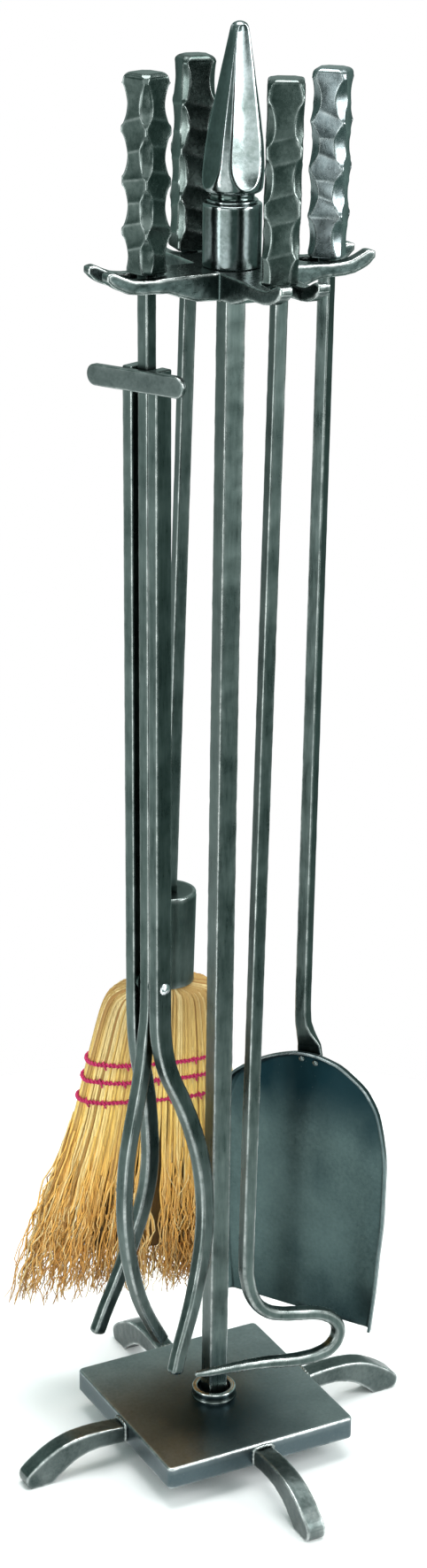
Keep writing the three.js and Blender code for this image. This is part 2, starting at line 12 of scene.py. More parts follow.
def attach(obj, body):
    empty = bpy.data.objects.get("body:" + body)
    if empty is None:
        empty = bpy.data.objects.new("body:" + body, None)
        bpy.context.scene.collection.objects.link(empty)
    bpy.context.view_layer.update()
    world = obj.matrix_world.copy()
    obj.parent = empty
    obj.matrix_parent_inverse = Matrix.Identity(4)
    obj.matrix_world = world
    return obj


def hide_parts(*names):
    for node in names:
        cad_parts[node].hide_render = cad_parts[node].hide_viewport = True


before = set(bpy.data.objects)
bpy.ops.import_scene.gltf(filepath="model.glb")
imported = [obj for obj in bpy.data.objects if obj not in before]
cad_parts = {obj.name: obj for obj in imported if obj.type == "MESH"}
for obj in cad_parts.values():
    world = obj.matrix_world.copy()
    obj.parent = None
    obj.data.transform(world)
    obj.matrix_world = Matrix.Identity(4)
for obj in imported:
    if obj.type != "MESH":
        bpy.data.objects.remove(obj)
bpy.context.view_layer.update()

RNG = random.Random(7)
scene = bpy.context.scene


def rad(a):
    return math.radians(a)


def vec(*p):
    return np.array(p, float)


def unit(v):
    v = np.asarray(v, float)
    return v / np.linalg.norm(v)


def smooth(t):
    t = np.clip(t, 0, 1)
    return t * t * (3 - 2 * t)


def spline(rows, step):
    """Points on a smooth curve through rows (first columns are the place), about step apart, by Catmull-Rom."""
    P = np.array(rows, float)
    out = []
    for i in range(len(P) - 1):
        p0, p1, p2, p3 = P[max(i - 1, 0)], P[i], P[i + 1], P[min(i + 2, len(P) - 1)]
        n = max(1, int(round(np.linalg.norm((p2 - p1)[:3]) / step)))
        for k in range(n):
            t = k / n
            out.append(0.5 * (2 * p1 + (p2 - p0) * t + (2 * p0 - 5 * p1 + 4 * p2 - p3) * t**2 + (3 * p1 - p0 - 3 * p2 + p3) * t**3))
    out.append(P[-1])
    return np.array(out)


# ---------------------------------------------------------------- making meshes
def piece(name, verts, faces, body, mat, nodes=(), wear=None, tone_and_painted_shade=None, along=None, flat=False):
    me = bpy.data.meshes.new(name)
    me.from_pydata((np.asarray(verts, float) * 0.001).tolist(), [], [tuple(int(i) for i in f) for f in faces])
    for key, values in (("wear", wear), ("tone_and_painted_shade", tone_and_painted_shade), ("along", along)):
        if values is not None:
            a = me.attributes.new(key, "FLOAT", "POINT")
            a.data.foreach_set("value", np.asarray(values, np.float32))
    bm = bmesh.new()
    bm.from_mesh(me)
    bmesh.ops.recalc_face_normals(bm, faces=bm.faces)
    bm.to_mesh(me)
    bm.free()
    me.polygons.foreach_set("use_smooth", np.full(len(me.polygons), not flat))
    me.materials.append(mat)
    ob = bpy.data.objects.new(name, me)
    scene.collection.objects.link(ob)
    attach(ob, body)
    if nodes:
        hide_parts(*nodes)
    return ob


def rings_to_faces(rows, n, close_ends=True, loop=False, start=0):
    faces = []
    for i in range(rows if loop else rows - 1):
        a0, b0 = start + i * n, start + ((i + 1) % rows) * n
        for j in range(n):
            k = (j + 1) % n
            faces.append((a0 + j, a0 + k, b0 + k, b0 + j))
    if close_ends and not loop:
        faces.append(tuple(start + j for j in range(n))[::-1])
        faces.append(tuple(start + (rows - 1) * n + j for j in range(n)))
    return faces


def rrect(hw, hh, r, k=4):
    """Section of a bar with rounded corners: points and how worn each one is."""
    r = max(0.05, min(r, hw * 0.97, hh * 0.97))
    pts, wear = [], []
    for c, (sx, sy, a0) in enumerate([(1, -1, -90), (1, 1, 0), (-1, 1, 90), (-1, -1, 180)]):
        for i in range(k + 1):
            a = rad(a0 + 90 * i / k)
            pts.append((sx * (hw - r) + r * math.cos(a), sy * (hh - r) + r * math.sin(a)))
            wear.append(1.0 if 0 < i < k else 0.55)
        side = (hh if c % 2 == 0 else hw) - r
        s = min(0.4, side * 0.3)
        along = (0, 1) if c == 0 else (-1, 0) if c == 1 else (0, -1) if c == 2 else (1, 0)
        base = ((hw, 0), (0, hh), (-hw, 0), (0, -hh))[c]
        for q, w in ((-side + s, 0.1), (-side * 0.45, 0), (0, 0), (side * 0.45, 0), (side - s, 0.1)):
            pts.append((base[0] + along[0] * q, base[1] + along[1] * q))
            wear.append(w)
    return np.array(pts), np.array(wear)


def frames(path, x_ref):
    T = np.gradient(path, axis=0)
    T /= np.linalg.norm(T, axis=1)[:, None]
    X = np.broadcast_to(np.asarray(x_ref, float), path.shape)
    X = X - (X * T).sum(1)[:, None] * T
    X /= np.linalg.norm(X, axis=1)[:, None]
    return T, X, np.cross(T, X)


def sweep(path, x_ref, size, wobble=0.0, wave=9.0, e0=0.0, e1=0.0, seed=0.0, k=4):
    """Bar along path. size(i) gives half width along x_ref, half height and corner radius. e0, e1 round its ends."""
    path = np.array(path, float)
    T, X, Y = frames(path, x_ref)
    verts, wear = [], []
    n = 0
    specs = [(path[i], X[i], Y[i], *size(i), 0.0) for i in range(len(path))]
    for end, e in ((0, e0), (-1, e1)):
        if e <= 0:
            continue
        c, x, y, hw, hh, r, _ = specs[end]
        t = T[end] * (-1 if end == 0 else 1)
        e = min(e, hw * 0.96, hh * 0.96)
        extra = []
        for a in (14, 30, 46, 62, 76, 86):
            d = e * (1 - math.cos(rad(a)))
            extra.append((c + t * e * math.sin(rad(a)), x, y, hw - d, hh - d, max(r - d * 0.3, 0.3), 0.35))
        specs = extra[::-1] + specs if end == 0 else specs + extra
    for c, x, y, hw, hh, r, extra_wear in specs:
        pts, w = rrect(hw, hh, r, k)
        n = len(pts)
        for (px, py), wi in zip(pts, w):
            p = c + x * px + y * py
            if wobble:
                q = noise.noise(Vector(p / wave) + Vector((seed, seed * 1.7, 0))) + 0.5 * noise.noise(Vector(p / (wave * 0.42)) + Vector((0, seed, 5)))
                p = p + unit(p - c) * wobble * q
            verts.append(p)
            wear.append(min(1, wi + extra_wear))
    return verts, rings_to_faces(len(specs), n), wear


def lathe(profile, n=48, centre=(0, 0), wear=None, axis_frame=None, loop=False):
    """Turned shape from (r, z) rows."""
    verts, w = [], []
    for i, (r, z) in enumerate(profile):
        for j in range(n):
            a = 2 * math.pi * j / n
            if axis_frame is None:
                verts.append(vec(centre[0] + r * math.cos(a), centre[1] + r * math.sin(a), z))
            else:
                verts.append(axis_frame(r * math.cos(a), r * math.sin(a), z))
            w.append(wear[i] if wear else 0)
    return verts, rings_to_faces(len(profile), n, loop=loop), w


def arc(cx, cz, r, a0, a1, n):
    return [(cx + r * math.cos(rad(a0 + (a1 - a0) * i / n)), cz + r * math.sin(rad(a0 + (a1 - a0) * i / n))) for i in range(n + 1)]


def remeshed(parts, voxel, rounds, hammer=0.0, wave=7.0, seed=0.0, gain=1.0):
    """Closed solids joined as one forged body: voxel mesh, softened, hammered. Gives points, faces and edge wear."""
    verts, faces = [], []
    for v, f in parts:
        k = len(verts)
        verts += [tuple(p) for p in v]
        faces += [tuple(i + k for i in g) for g in f]
    me = bpy.data.meshes.new("tmp")
    me.from_pydata((np.array(verts) * 0.001).tolist(), [], faces)
    bm = bmesh.new()
    bm.from_mesh(me)
    bmesh.ops.recalc_face_normals(bm, faces=bm.faces)
    bm.to_mesh(me)
    bm.free()
    ob = bpy.data.objects.new("tmp", me)
    scene.collection.objects.link(ob)
    mod = ob.modifiers.new("r", "REMESH")
    mod.mode = "VOXEL"
    mod.voxel_size = voxel * 0.001
    got = bpy.data.meshes.new_from_object(ob.evaluated_get(bpy.context.evaluated_depsgraph_get()))
    bpy.data.objects.remove(ob)
    n = len(got.vertices)
    co = np.zeros(n * 3)
    got.vertices.foreach_get("co", co)
    co = co.reshape(-1, 3) * 1000
    polys = [tuple(p.vertices) for p in got.polygons]
    e = np.zeros(len(got.edges) * 2, int)
    got.edges.foreach_get("vertices", e)
    e = e.reshape(-1, 2)
    deg = np.bincount(e.ravel(), minlength=n)[:, None]

    def mean(c):
        s = np.zeros_like(c)
        np.add.at(s, e[:, 0], c[e[:, 1]])
        np.add.at(s, e[:, 1], c[e[:, 0]])
        return s / deg

    for _ in range(rounds):
        co = co + 0.5 * (mean(co) - co)
    got.vertices.foreach_set("co", (co * 0.001).ravel())
    got.update()
    nor = np.zeros(n * 3)
    got.vertices.foreach_get("normal", nor)
    nor = nor.reshape(-1, 3)
    bend = -((mean(co) - co) * nor).sum(1)[:, None]
    for _ in range(3):
        bend = 0.5 * (bend + mean(bend))
    wear = np.clip(bend[:, 0] / voxel * 14 * gain, 0, 1)
    if hammer:
        d = np.array([noise.noise(Vector(p / wave) + Vector((seed, 0, 0))) + 0.5 * noise.noise(Vector(p / (wave * 0.4)) + Vector((0, seed, 3))) for p in co])
        co = co + nor * (d * hammer)[:, None]
    bpy.data.meshes.remove(got)
    return co, polys, wear


def prism(outline, u, v, w0, w1, origin=(0, 0, 0)):
    """Closed prism: outline in u, v; thick from w0 to w1 along u x v."""
    u, v, o = np.asarray(u, float), np.asarray(v, float), np.asarray(origin, float)
    w = np.cross(u, v)
    n = len(outline)
    verts = [o + u * a + v * b + w * w0 for a, b in outline] + [o + u * a + v * b + w * w1 for a, b in outline]
    return verts, rings_to_faces(2, n)


# ---------------------------------------------------------------- materials
class Nodes:
    def __init__(self, name):
        self.m = bpy.data.materials.new(name)
        self.m.use_nodes = True
        self.t = self.m.node_tree
        self.t.nodes.clear()
        self.out = self.t.nodes.new("ShaderNodeOutputMaterial")
        self.b = self.t.nodes.new("ShaderNodeBsdfPrincipled")
        self.t.links.new(self.b.outputs[0], self.out.inputs[0])
        self.co = self.t.nodes.new("ShaderNodeTexCoord").outputs["Object"]

    def link(self, a, b):
        self.t.links.new(a, b)

    def attr(self, name):
        n = self.t.nodes.new("ShaderNodeAttribute")
        n.attribute_name = name
        return n.outputs["Fac"]

    def noise(self, scale, detail=3.0, rough=0.55, stretch=None, dist=0.0):
        n = self.t.nodes.new("ShaderNodeTexNoise")
        n.inputs["Scale"].default_value = scale
        n.inputs["Detail"].default_value = detail
        n.inputs["Roughness"].default_value = rough
        n.inputs["Distortion"].default_value = dist
        if stretch:
            mp = self.t.nodes.new("ShaderNodeMapping")
            mp.inputs["Scale"].default_value = stretch
            self.link(self.co, mp.inputs["Vector"])
            self.link(mp.outputs[0], n.inputs["Vector"])
        else:
            self.link(self.co, n.inputs["Vector"])
        return n.outputs["Fac"]

    def voronoi(self, scale, feature="F1"):
        n = self.t.nodes.new("ShaderNodeTexVoronoi")
        n.feature = feature
        n.inputs["Scale"].default_value = scale
        self.link(self.co, n.inputs["Vector"])
        return n.outputs["Distance"]

    def ramp(self, fac, stops):
        n = self.t.nodes.new("ShaderNodeValToRGB")
        while len(n.color_ramp.elements) < len(stops):
            n.color_ramp.elements.new(0.5)
        for e, (pos, col) in zip(n.color_ramp.elements, stops):
            e.position = pos
            e.color = (*col, 1) if isinstance(col, tuple) else (col, col, col, 1)
        self.link(fac, n.inputs[0])
        return n.outputs[0]

    def mix(self, fac, a, b, mode="MIX"):
        n = self.t.nodes.new("ShaderNodeMix")
        n.data_type = "RGBA"
        n.blend_type = mode
        if isinstance(fac, (int, float)):
            n.inputs[0].default_value = fac
        else:
            self.link(fac, n.inputs[0])
        for socket, x in ((n.inputs[6], a), (n.inputs[7], b)):
            if isinstance(x, tuple):
                socket.default_value = (*x, 1)
            else:
                self.link(x, socket)
        return n.outputs[2]

    def math(self, op, a, b=0.0, c=None, clamp=False):
        n = self.t.nodes.new("ShaderNodeMath")
        n.operation = op
        n.use_clamp = clamp
        for socket, x in zip(n.inputs, (a, b, c)):
            if x is None:
                continue
            if isinstance(x, (int, float)):
                socket.default_value = x
            else:
                self.link(x, socket)
        return n.outputs[0]

    def bump(self, height, strength, distance, normal=None):
        n = self.t.nodes.new("ShaderNodeBump")
        n.inputs["Strength"].default_value = strength
        n.inputs["Distance"].default_value = distance
        self.link(height, n.inputs["Height"])
        if normal is not None:
            self.link(normal, n.inputs["Normal"])
        return n.outputs[0]


def iron(name, dark, mid, worn=(0.62, 0.64, 0.63), rough=(0.24, 0.42), wear_gain=1.0, grain=(1, 1, 1), bump=0.25, specks=0.0, blotch=30.0, painted_shade_colour=None):
    """Burnished, waxed iron: dark scale in the hollows, bare bright metal where hands and edges rub, and painted shade
    mixed in where a piece gives a shade colour.
    """
    k = Nodes(name)
    large = k.noise(blotch, 4, 0.6)
    small = k.noise(420, 4, 0.65, stretch=grain)
    fine = k.noise(1500, 2, 0.6)
    scale = k.math("ADD", k.math("MULTIPLY", large, 0.65), k.math("MULTIPLY", small, 0.35))
    col = k.ramp(scale, [(0.36, dark), (0.64, mid)])
    # painted shade: the colour is mixed towards the given dark colour by the per-point shade attribute
    if painted_shade_colour:
        col = k.mix(k.attr("tone_and_painted_shade"), col, painted_shade_colour)
    wear = k.math("MULTIPLY", k.attr("wear"), wear_gain)
    broken = k.math("MULTIPLY", k.ramp(k.noise(170, 5, 0.7), [(0.3, 0.25), (0.62, 1.0)]), wear, clamp=True)
    col = k.mix(broken, col, worn)
    if specks:
        spot = k.ramp(k.voronoi(260), [(0.0, 1.0), (0.07, 0.0)])
        gate = k.ramp(k.noise(22, 3, 0.6), [(0.52, 0.0), (0.62, 1.0)])
        col = k.mix(k.math("MULTIPLY", k.math("MULTIPLY", spot, gate), specks), col, (0.6, 0.58, 0.52))
    k.link(col, k.b.inputs["Base Color"])
    r = k.math("ADD", k.math("MULTIPLY", k.math("ADD", k.math("MULTIPLY", large, 0.5), k.math("MULTIPLY", small, 0.5)), (rough[1] - rough[0]) * 2.0), rough[0] - (rough[1] - rough[0]) * 0.5)
    r = k.math("SUBTRACT", r, k.math("MULTIPLY", broken, 0.06), clamp=True)
    k.link(r, k.b.inputs["Roughness"])
    k.b.inputs["Metallic"].default_value = 1.0
    h = k.math("ADD", k.math("MULTIPLY", small, 0.7), k.math("MULTIPLY", fine, 0.3))
    k.link(k.bump(h, bump, 0.0004), k.b.inputs["Normal"])
    return k.m


M = {
    "bar": iron("iron_bars", (0.034, 0.052, 0.048), (0.100, 0.130, 0.123), rough=(0.22, 0.38), grain=(1, 1, 0.12)),
    "grip": iron("iron_grips", (0.032, 0.050, 0.045), (0.105, 0.132, 0.124), worn=(0.62, 0.66, 0.65), rough=(0.2, 0.34)),
    # paler copy of the grip iron for the shovel's grip: painted highlight for the light it catches
    "grip_painted_highlight": iron("iron_grip_painted_highlight", (0.085, 0.112, 0.118), (0.25, 0.29, 0.30), worn=(0.62, 0.66, 0.65), rough=(0.2, 0.34)),
    "hanger": iron("iron_hanger", (0.022, 0.036, 0.034), (0.070, 0.094, 0.091), rough=(0.2, 0.34)),
    "finial": iron("iron_finial", (0.055, 0.076, 0.070), (0.155, 0.182, 0.186), worn=(0.5, 0.53, 0.54), rough=(0.12, 0.22), bump=0.12, blotch=40),
    # the plate's last colour is painted shade, mixed in by the per-point shade attribute
    "plate": iron("iron_plate", (0.19, 0.215, 0.22), (0.31, 0.345, 0.35), worn=(0.72, 0.75, 0.75), rough=(0.26, 0.4), specks=0.7, blotch=18, bump=0.2, painted_shade_colour=(0.034, 0.062, 0.074)),
    "foot": iron("iron_feet", (0.040, 0.056, 0.054), (0.112, 0.136, 0.132), worn=(0.72, 0.75, 0.74), rough=(0.24, 0.4)),
    "collar": iron("iron_collar", (0.045, 0.058, 0.055), (0.11, 0.128, 0.124), worn=(0.72, 0.75, 0.74), rough=(0.2, 0.32)),
    # the pan's last colour is painted shade, mixed in by the per-point shade attribute
    "pan": iron("iron_pan", (0.062, 0.096, 0.096), (0.112, 0.166, 0.164), worn=(0.5, 0.54, 0.54), rough=(0.24, 0.4), blotch=16, bump=0.15, specks=0.45, painted_shade_colour=(0.008, 0.028, 0.036)),
    "ferrule": iron("iron_ferrule", (0.032, 0.050, 0.045), (0.080, 0.105, 0.098), worn=(0.32, 0.35, 0.34), rough=(0.3, 0.42), grain=(1, 1, 0.2), bump=0.12),
}


def plain_metal(name, lo, hi, rough):
    k = Nodes(name)
    k.link(k.ramp(k.noise(300, 4, 0.6), [(0.35, lo), (0.65, hi)]), k.b.inputs["Base Color"])
    k.link(k.ramp(k.noise(500, 3, 0.6), [(0.3, rough[0]), (0.7, rough[1])]), k.b.inputs["Roughness"])
    k.b.inputs["Metallic"].default_value = 1.0
    k.link(k.bump(k.noise(900, 3, 0.6), 0.15, 0.0002), k.b.inputs["Normal"])
    return k.m


M["steel"] = plain_metal("bright_steel", (0.58, 0.6, 0.62), (0.8, 0.82, 0.84), (0.16, 0.3))
M["copper"] = plain_metal("copper", (0.42, 0.17, 0.08), (0.72, 0.34, 0.18), (0.25, 0.4))


def straw(name, gain=1.0, rough=(0.5, 0.75)):
    """Dry broom corn: olive brown where it is bound, golden in the fan, browner and redder at the tips, each stalk its own shade."""
    k = Nodes(name)
    along, tone_and_painted_shade = k.attr("along"), k.attr("tone_and_painted_shade")
    g = lambda c: tuple(min(0.98, v * gain) for v in c)
    c = k.ramp(along, [(0.0, g((0.40, 0.25, 0.08))), (0.14, g((0.66, 0.44, 0.14))), (0.34, g((0.98, 0.68, 0.18))), (0.6, g((0.98, 0.56, 0.135))), (0.82, g((0.84, 0.42, 0.095))), (1.0, g((0.52, 0.26, 0.07)))])
    c = k.mix(k.ramp(tone_and_painted_shade, [(0.0, 0.97), (0.24, 0.75), (0.5, 0.0), (1.0, 0.0)]), c, g((0.30, 0.135, 0.035)))
    c = k.mix(k.ramp(tone_and_painted_shade, [(0.6, 0.0), (0.95, 0.75)]), c, g((0.98, 0.84, 0.46)))
    streak = k.noise(900, 3, 0.6, stretch=(1, 1, 0.08))
    c = k.mix(k.ramp(streak, [(0.36, 0.45), (0.6, 0.0)]), c, g((0.34, 0.19, 0.06)))
    k.link(c, k.b.inputs["Base Color"])
    k.link(k.ramp(streak, [(0.3, rough[0]), (0.7, rough[1])]), k.b.inputs["Roughness"])
    k.b.inputs["Specular IOR Level"].default_value = 0.35
    k.link(k.bump(streak, 0.4, 0.0003), k.b.inputs["Normal"])
    return k.m


M["straw"] = straw("broom_straw")
# painted shade: the inner bundle is the straw at 0.17 of its brightness
M["straw_core_painted_shade"] = straw("broom_straw_inside_painted_shade", 0.17)


def cord_material():
    k = Nodes("stitch_cord")
    f = k.noise(1400, 3, 0.6)
    k.link(k.ramp(f, [(0.3, (0.30, 0.003, 0.06)), (0.7, (0.64, 0.010, 0.13))]), k.b.inputs["Base Color"])
    k.link(k.ramp(f, [(0.3, 0.55), (0.7, 0.75)]), k.b.inputs["Roughness"])
    k.b.inputs["Sheen Weight"].default_value = 0.1
    k.link(k.bump(f, 0.35, 0.0003), k.b.inputs["Normal"])
    return k.m


M["cord"] = cord_material()

# ---------------------------------------------------------------- base
HALF, PLATE_TOP, PLATE_T, PLATE_R = 67.0, 30.6, 15.3, 3.5


def rounded_square(half, r, steps, per_side):
    out = []
    for sx, sy, a0 in ((1, -1, -90), (1, 1, 0), (-1, 1, 90), (-1, -1, 180)):
        arcs = [(sx * (half - r) + r * math.cos(rad(a0 + 90 * i / steps)), sy * (half - r) + r * math.sin(rad(a0 + 90 * i / steps))) for i in range(steps + 1)]
        out += arcs
        nx, ny = ((0, 1), (-1, 0), (0, -1), (1, 0))[[(1, -1), (1, 1), (-1, 1), (-1, -1)].index((sx, sy))]
        length = 2 * (half - r)
        for i in range(1, per_side):
            out.append((arcs[-1][0] + nx * length * i / per_side, arcs[-1][1] + ny * length * i / per_side))
    return out


def plate():
    z0, e = PLATE_TOP - PLATE_T, 1.3
    rows = [(40, z0, 0), (8, z0, 0), (2.2, z0, 0.1)]
    rows += [(e - e * math.sin(rad(a)), z0 + e - e * math.cos(rad(a)), 0.7) for a in (15, 35, 55, 75, 90)]
    rows += [(0, z0 + 2, 0.1), (0, z0 + 5, 0), (0, z0 + 10, 0), (0, PLATE_TOP - 2.2, 0.1)]
    rows += [(e - e * math.cos(rad(a)), PLATE_TOP - e + e * math.sin(rad(a)), w) for a, w in ((0, 0.6), (20, 1), (40, 1), (60, 1), (75, 1), (90, 0.6))]
    rows += [(1.8, PLATE_TOP, 0.15), (3, PLATE_TOP, 0.05)] + [(i, PLATE_TOP, 0) for i in (6, 10, 15, 20, 26, 32, 38, 44, 50, 54)]
    verts, wear, shade = [], [], []
    for inset, z, w in rows:
        for x, y in rounded_square(HALF - inset, max(PLATE_R - inset, 0.6), 6, 26):
            up = z > PLATE_TOP - 0.4
            dz = 0.10 * noise.noise(Vector((x / 26, y / 26, 1.5))) if up and inset > 1 else 0
            side = 0.12 * noise.noise(Vector((x / 9, y / 9, z / 5))) if not up else 0
            d = math.hypot(x, y)
            verts.append(vec(x * (1 - side / d), y * (1 - side / d), min(z + dz, PLATE_TOP + 0.05)))
            # painted shade and dark reflection: blacker round the collar and towards the front, less dark at the other
            # corners; everything below the top gets an even painted shade of 0.8
            near = math.exp(-(((x + 12) / 50) ** 2 + ((y + 22) / 44) ** 2))
            shade.append(min(1, near * 1.15 + 0.12 * noise.noise(Vector((x / 20, y / 20, 8)))) if up else 0.8)
            # edge wear with a painted highlight on the sides facing the light: strongest along the front (−Y) top edge,
            # less on the left (−X), least at the back and right
            n = 0.75 + 0.6 * noise.noise(Vector((x / 14, y / 14, z / 9)))
            wear.append(min(1, max(0, w * n * (1.3 if y < -64 and z > 25 else 0.6 if x < -64 else 0.35))))
    n = len(rounded_square(10, 1, 6, 26))
    piece("plate", verts, rings_to_faces(len(rows), n), "root", M["plate"], ["base_plate"], wear, tone_and_painted_shade=np.clip(shade, 0, 1))


plate()

FOOT = [(67.3, 15.9), (79.3, 16.8), (88.8, 16.6), (98.3, 14.6), (105.9, 11), (112.5, 6.2), (118.2, 1.2), (119.5, 0), (134.8, 0), (136.8, 1.6),
        (137.9, 5), (137.4, 9), (132.9, 13.6), (124.8, 19.4), (115.4, 24.4), (104.9, 27.6), (92.6, 28.9), (79.3, 28.6), (67.3, 27.4)]


def feet():
    for name, a in (("right", 0), ("back", 90), ("left", 180), ("front", 270)):
        u = vec(math.cos(rad(a)), math.sin(rad(a)), 0)
        side_view = [(r - 0.4 if r < 68 else r, z) for r, z in spline([(r, z, 0) for r, z in FOOT], 2.0)[:, :2]]
        co, faces, wear = remeshed([prism(side_view, u, (0, 0, 1), -6.35, 6.35)], 0.5, 3, hammer=0.2, wave=10, seed=a * 0.1)
        co = np.array(co)
        co[:, 2] = np.maximum(co[:, 2], 0.0)
        out = co @ u
        n = np.array([noise.noise(Vector(p / 11)) for p in co])
        end = smooth((out - 116) / 16) * 0.16
        wear = np.clip(wear * (0.7 + 0.8 * n) + end * np.clip(0.2 + 1.6 * n, 0, 1), 0, 1)
        piece(f"foot_{name}_forged", co, faces, "root", M["foot"], [f"foot_{name}"], wear)
        # weld bead across the top of the joint and down its sides
        side = np.cross(u, (0, 0, 1))
        pts = [u * 67.9 + side * s + vec(0, 0, z) for s, z in ((-6.9, 18), (-7.0, 22), (-6.9, 26), (-6.2, 28.2), (-3, 28.9), (0, 29.0), (3, 28.8), (6.2, 28.1), (6.9, 26), (7.0, 22), (6.9, 18))]
        path = spline(pts, 0.8)
        lump = [1.15 + 0.28 * math.sin(i * 1.9 + a) + 0.2 * noise.noise(Vector((i * 0.35, a, 0))) for i in range(len(path))]
        v, f, w = sweep(path, u, lambda i: (lump[i], lump[i], lump[i] * 0.95), 0.12, 2.0, 0.6, 0.6, seed=a)
        piece(f"weld_{name}", v, f, "root", M["foot"], (), np.array(w) * 0.5)


feet()


def collar():
    ri, ro, z0, z1 = 10.9, 14.25, 30.6, 37.1
    prof = [(ri, z0 + 0.2), (ri, z1 - 2.2), (ri + 0.1, z1 - 1.3)] + arc(ri + 0.95, z1 - 0.95, 0.95, 180, 60, 5)
    prof += [(ro - 1.3, z1 - 0.12)] + arc(ro - 0.9, z1 - 0.9, 0.9, 70, 0, 5)
    prof += [(ro, z1 - 1.6), (ro - 0.25, z1 - 3.2), (ro - 0.1, z0 + 1.6)] + [(ro + 0.4, z0 + 0.5), (ro + 0.6, z0 + 0.1)]
    wear = [0, 0, 0.3] + [1] * 6 + [0.9] + [1] * 6 + [0.3, 0, 0, 0.2, 0.1]
    v, f, w = lathe(prof, 64, wear=wear)
    # ring: close the underside
    n = 64
    last = len(prof) - 1
    f = f[:-2] + [(last * n + j, last * n + (j + 1) % n, (j + 1) % n, j) for j in range(n)]
    piece("collar_ring", v, f, "root", M["collar"], ["base_collar"], w)


collar()


def post():
    h = 6.35
    zs = np.concatenate([np.arange(30.75, 759.5, 3.0), [759.6]])
    path = np.array([vec(0, 0, z) for z in zs])

    def size(i):
        z = zs[i]
        a = 0.10 * noise.noise(Vector((0, 3, z / 13))) + 0.07 * noise.noise(Vector((4, 0, z / 5)))
        b = 0.10 * noise.noise(Vector((7, 3, z / 13)))
        dent = 0.5 * max(0, noise.noise(Vector((2, 8, z / 6)))) * smooth((z - 640) / 60)
        return h + a, h + b, 0.75 + abs(a) * 3 + dent

    v, f, w = sweep(path, (1, 0, 0), size, 0.16, 8)
    w = [min(1, x * (0.3 + 0.3 * max(0, 1 + noise.noise(Vector(p / 12))))) for x, p in zip(w, v)]
    piece("post_bar", v, f, "root", M["bar"], ["post"], w)


post()

# ---------------------------------------------------------------- hanger
HUB_HALF = 16.0
ARM = [(10, 760.6), (16.15, 761.0), (30, 761.6), (40, 764.6), (49, 767.8), (57, 768.2), (65, 768.3), (73, 769.4), (80, 772.2), (85.2, 775.6),
       (86.4, 779), (85.4, 781.8), (82, 782.2), (76, 779.4), (70, 777), (63, 776.2), (56, 776.1), (48, 776.6), (38, 776.9), (16.15, 776.9), (10, 776.9)]


def hanger():
    parts = []
    H = 15.9
    parts.append(prism([(-H, -H), (H, -H), (H, H), (-H, H)], (1, 0, 0), (0, 1, 0), 760.2, 776.9))

    def section(r):
        """height of the arm's underside and top at distance r"""
        lo = ARM[:10]
        hi = ARM[11:][::-1]
        z0 = np.interp(r, [p[0] for p in lo], [p[1] for p in lo])
        z1 = np.interp(r, [p[0] for p in hi], [p[1] for p in hi])
        return z0, z1

    for a in (0, 90, 180, 270):
        u = vec(math.cos(rad(a)), math.sin(rad(a)), 0)
        v = vec(-math.sin(rad(a)), math.cos(rad(a)), 0)
        # body of the arm in to the slot's rounded end, and one prong each side
        rs = np.concatenate([np.arange(8, 44.01, 2.0)])
        ring = []
        for r in rs:
            z0, z1 = section(r)
            ring += [u * r + v * s + vec(0, 0, z) for s, z in ((-HUB_HALF, z0), (HUB_HALF, z0), (HUB_HALF, z1), (-HUB_HALF, z1))]
        parts.append((ring, rings_to_faces(len(rs), 4)))
        for sg in (-1, 1):
            rows = []
            for r in np.concatenate([np.arange(40, 52.01, 0.75), np.arange(53, 86.2, 1.6), [86.3]]):
                inner = 8.0 if r >= 52 else math.sqrt(max(0, 64 - (52 - r) ** 2)) if r > 44 else 0.0
                z0, z1 = section(min(r, 85.2))
                if r > 83:
                    z0, z1 = z0 + (r - 83) * 0.55, z1 - (r - 83) * 0.15
                rows.append([u * r + v * sg * s + vec(0, 0, z) for s, z in ((inner, z0), (HUB_HALF, z0), (HUB_HALF, z1), (inner, z1))])
            pts = [p for row in rows for p in row]
            parts.append((pts, rings_to_faces(len(rows), 4)))
    co, faces, wear = remeshed(parts, 0.52, 4, hammer=0.18, wave=8, seed=3.3, gain=0.8)
    co = np.array(co)
    co[:, 2] = np.clip(co[:, 2], 759.9, None)
    n = np.array([noise.noise(Vector(p / 9)) for p in co])
    wear = np.clip(wear * (0.95 + 0.7 * n), 0, 1)
    piece("hanger", co, faces, "root", M["hanger"], ["hanger_hub", "fork_right", "fork_back", "fork_left", "fork_front"], wear)


hanger()


def socket():
    r, z0, z1 = 17.0, 777.0, 813.4
    prof = [(9, z0), (r - 0.9, z0)] + arc(r - 0.7, z0 + 0.7, 0.7, -80, 0, 3) + [(r, z0 + 2), (r, z0 + 9), (r, z0 + 18), (r, z0 + 27), (r, z1 - 2.6)]
    prof += arc(r - 1.3, z1 - 1.3, 1.3, 0, 80, 5) + [(r - 2.2, z1), (13.4, z1 + 0.05)]
    wear = [0, 0.3] + [0.6] * 4 + [0.05, 0, 0, 0, 0.1] + [0.9] * 6 + [0.5, 0.2]
    # one fine bead, then a plain groove up to the point
    prof += [(13.6, z1 + 0.25)] + arc(13.9, z1 + 1.15, 0.85, -60, 80, 7) + [(13.0, z1 + 2.1), (12.6, z1 + 2.7), (12.5, z1 + 3.6), (12.6, z1 + 4.6), (13.0, z1 + 5.5), (9, z1 + 5.7)]
    wear += [0.1] + [1] * 8 + [0.1, 0, 0, 0, 0, 0]
    v, f, w = lathe(prof, 72, wear=wear)
    piece("socket_drum", v, f, "root", M["finial"], ["finial_socket"], np.array(w) * 0.7)


socket()


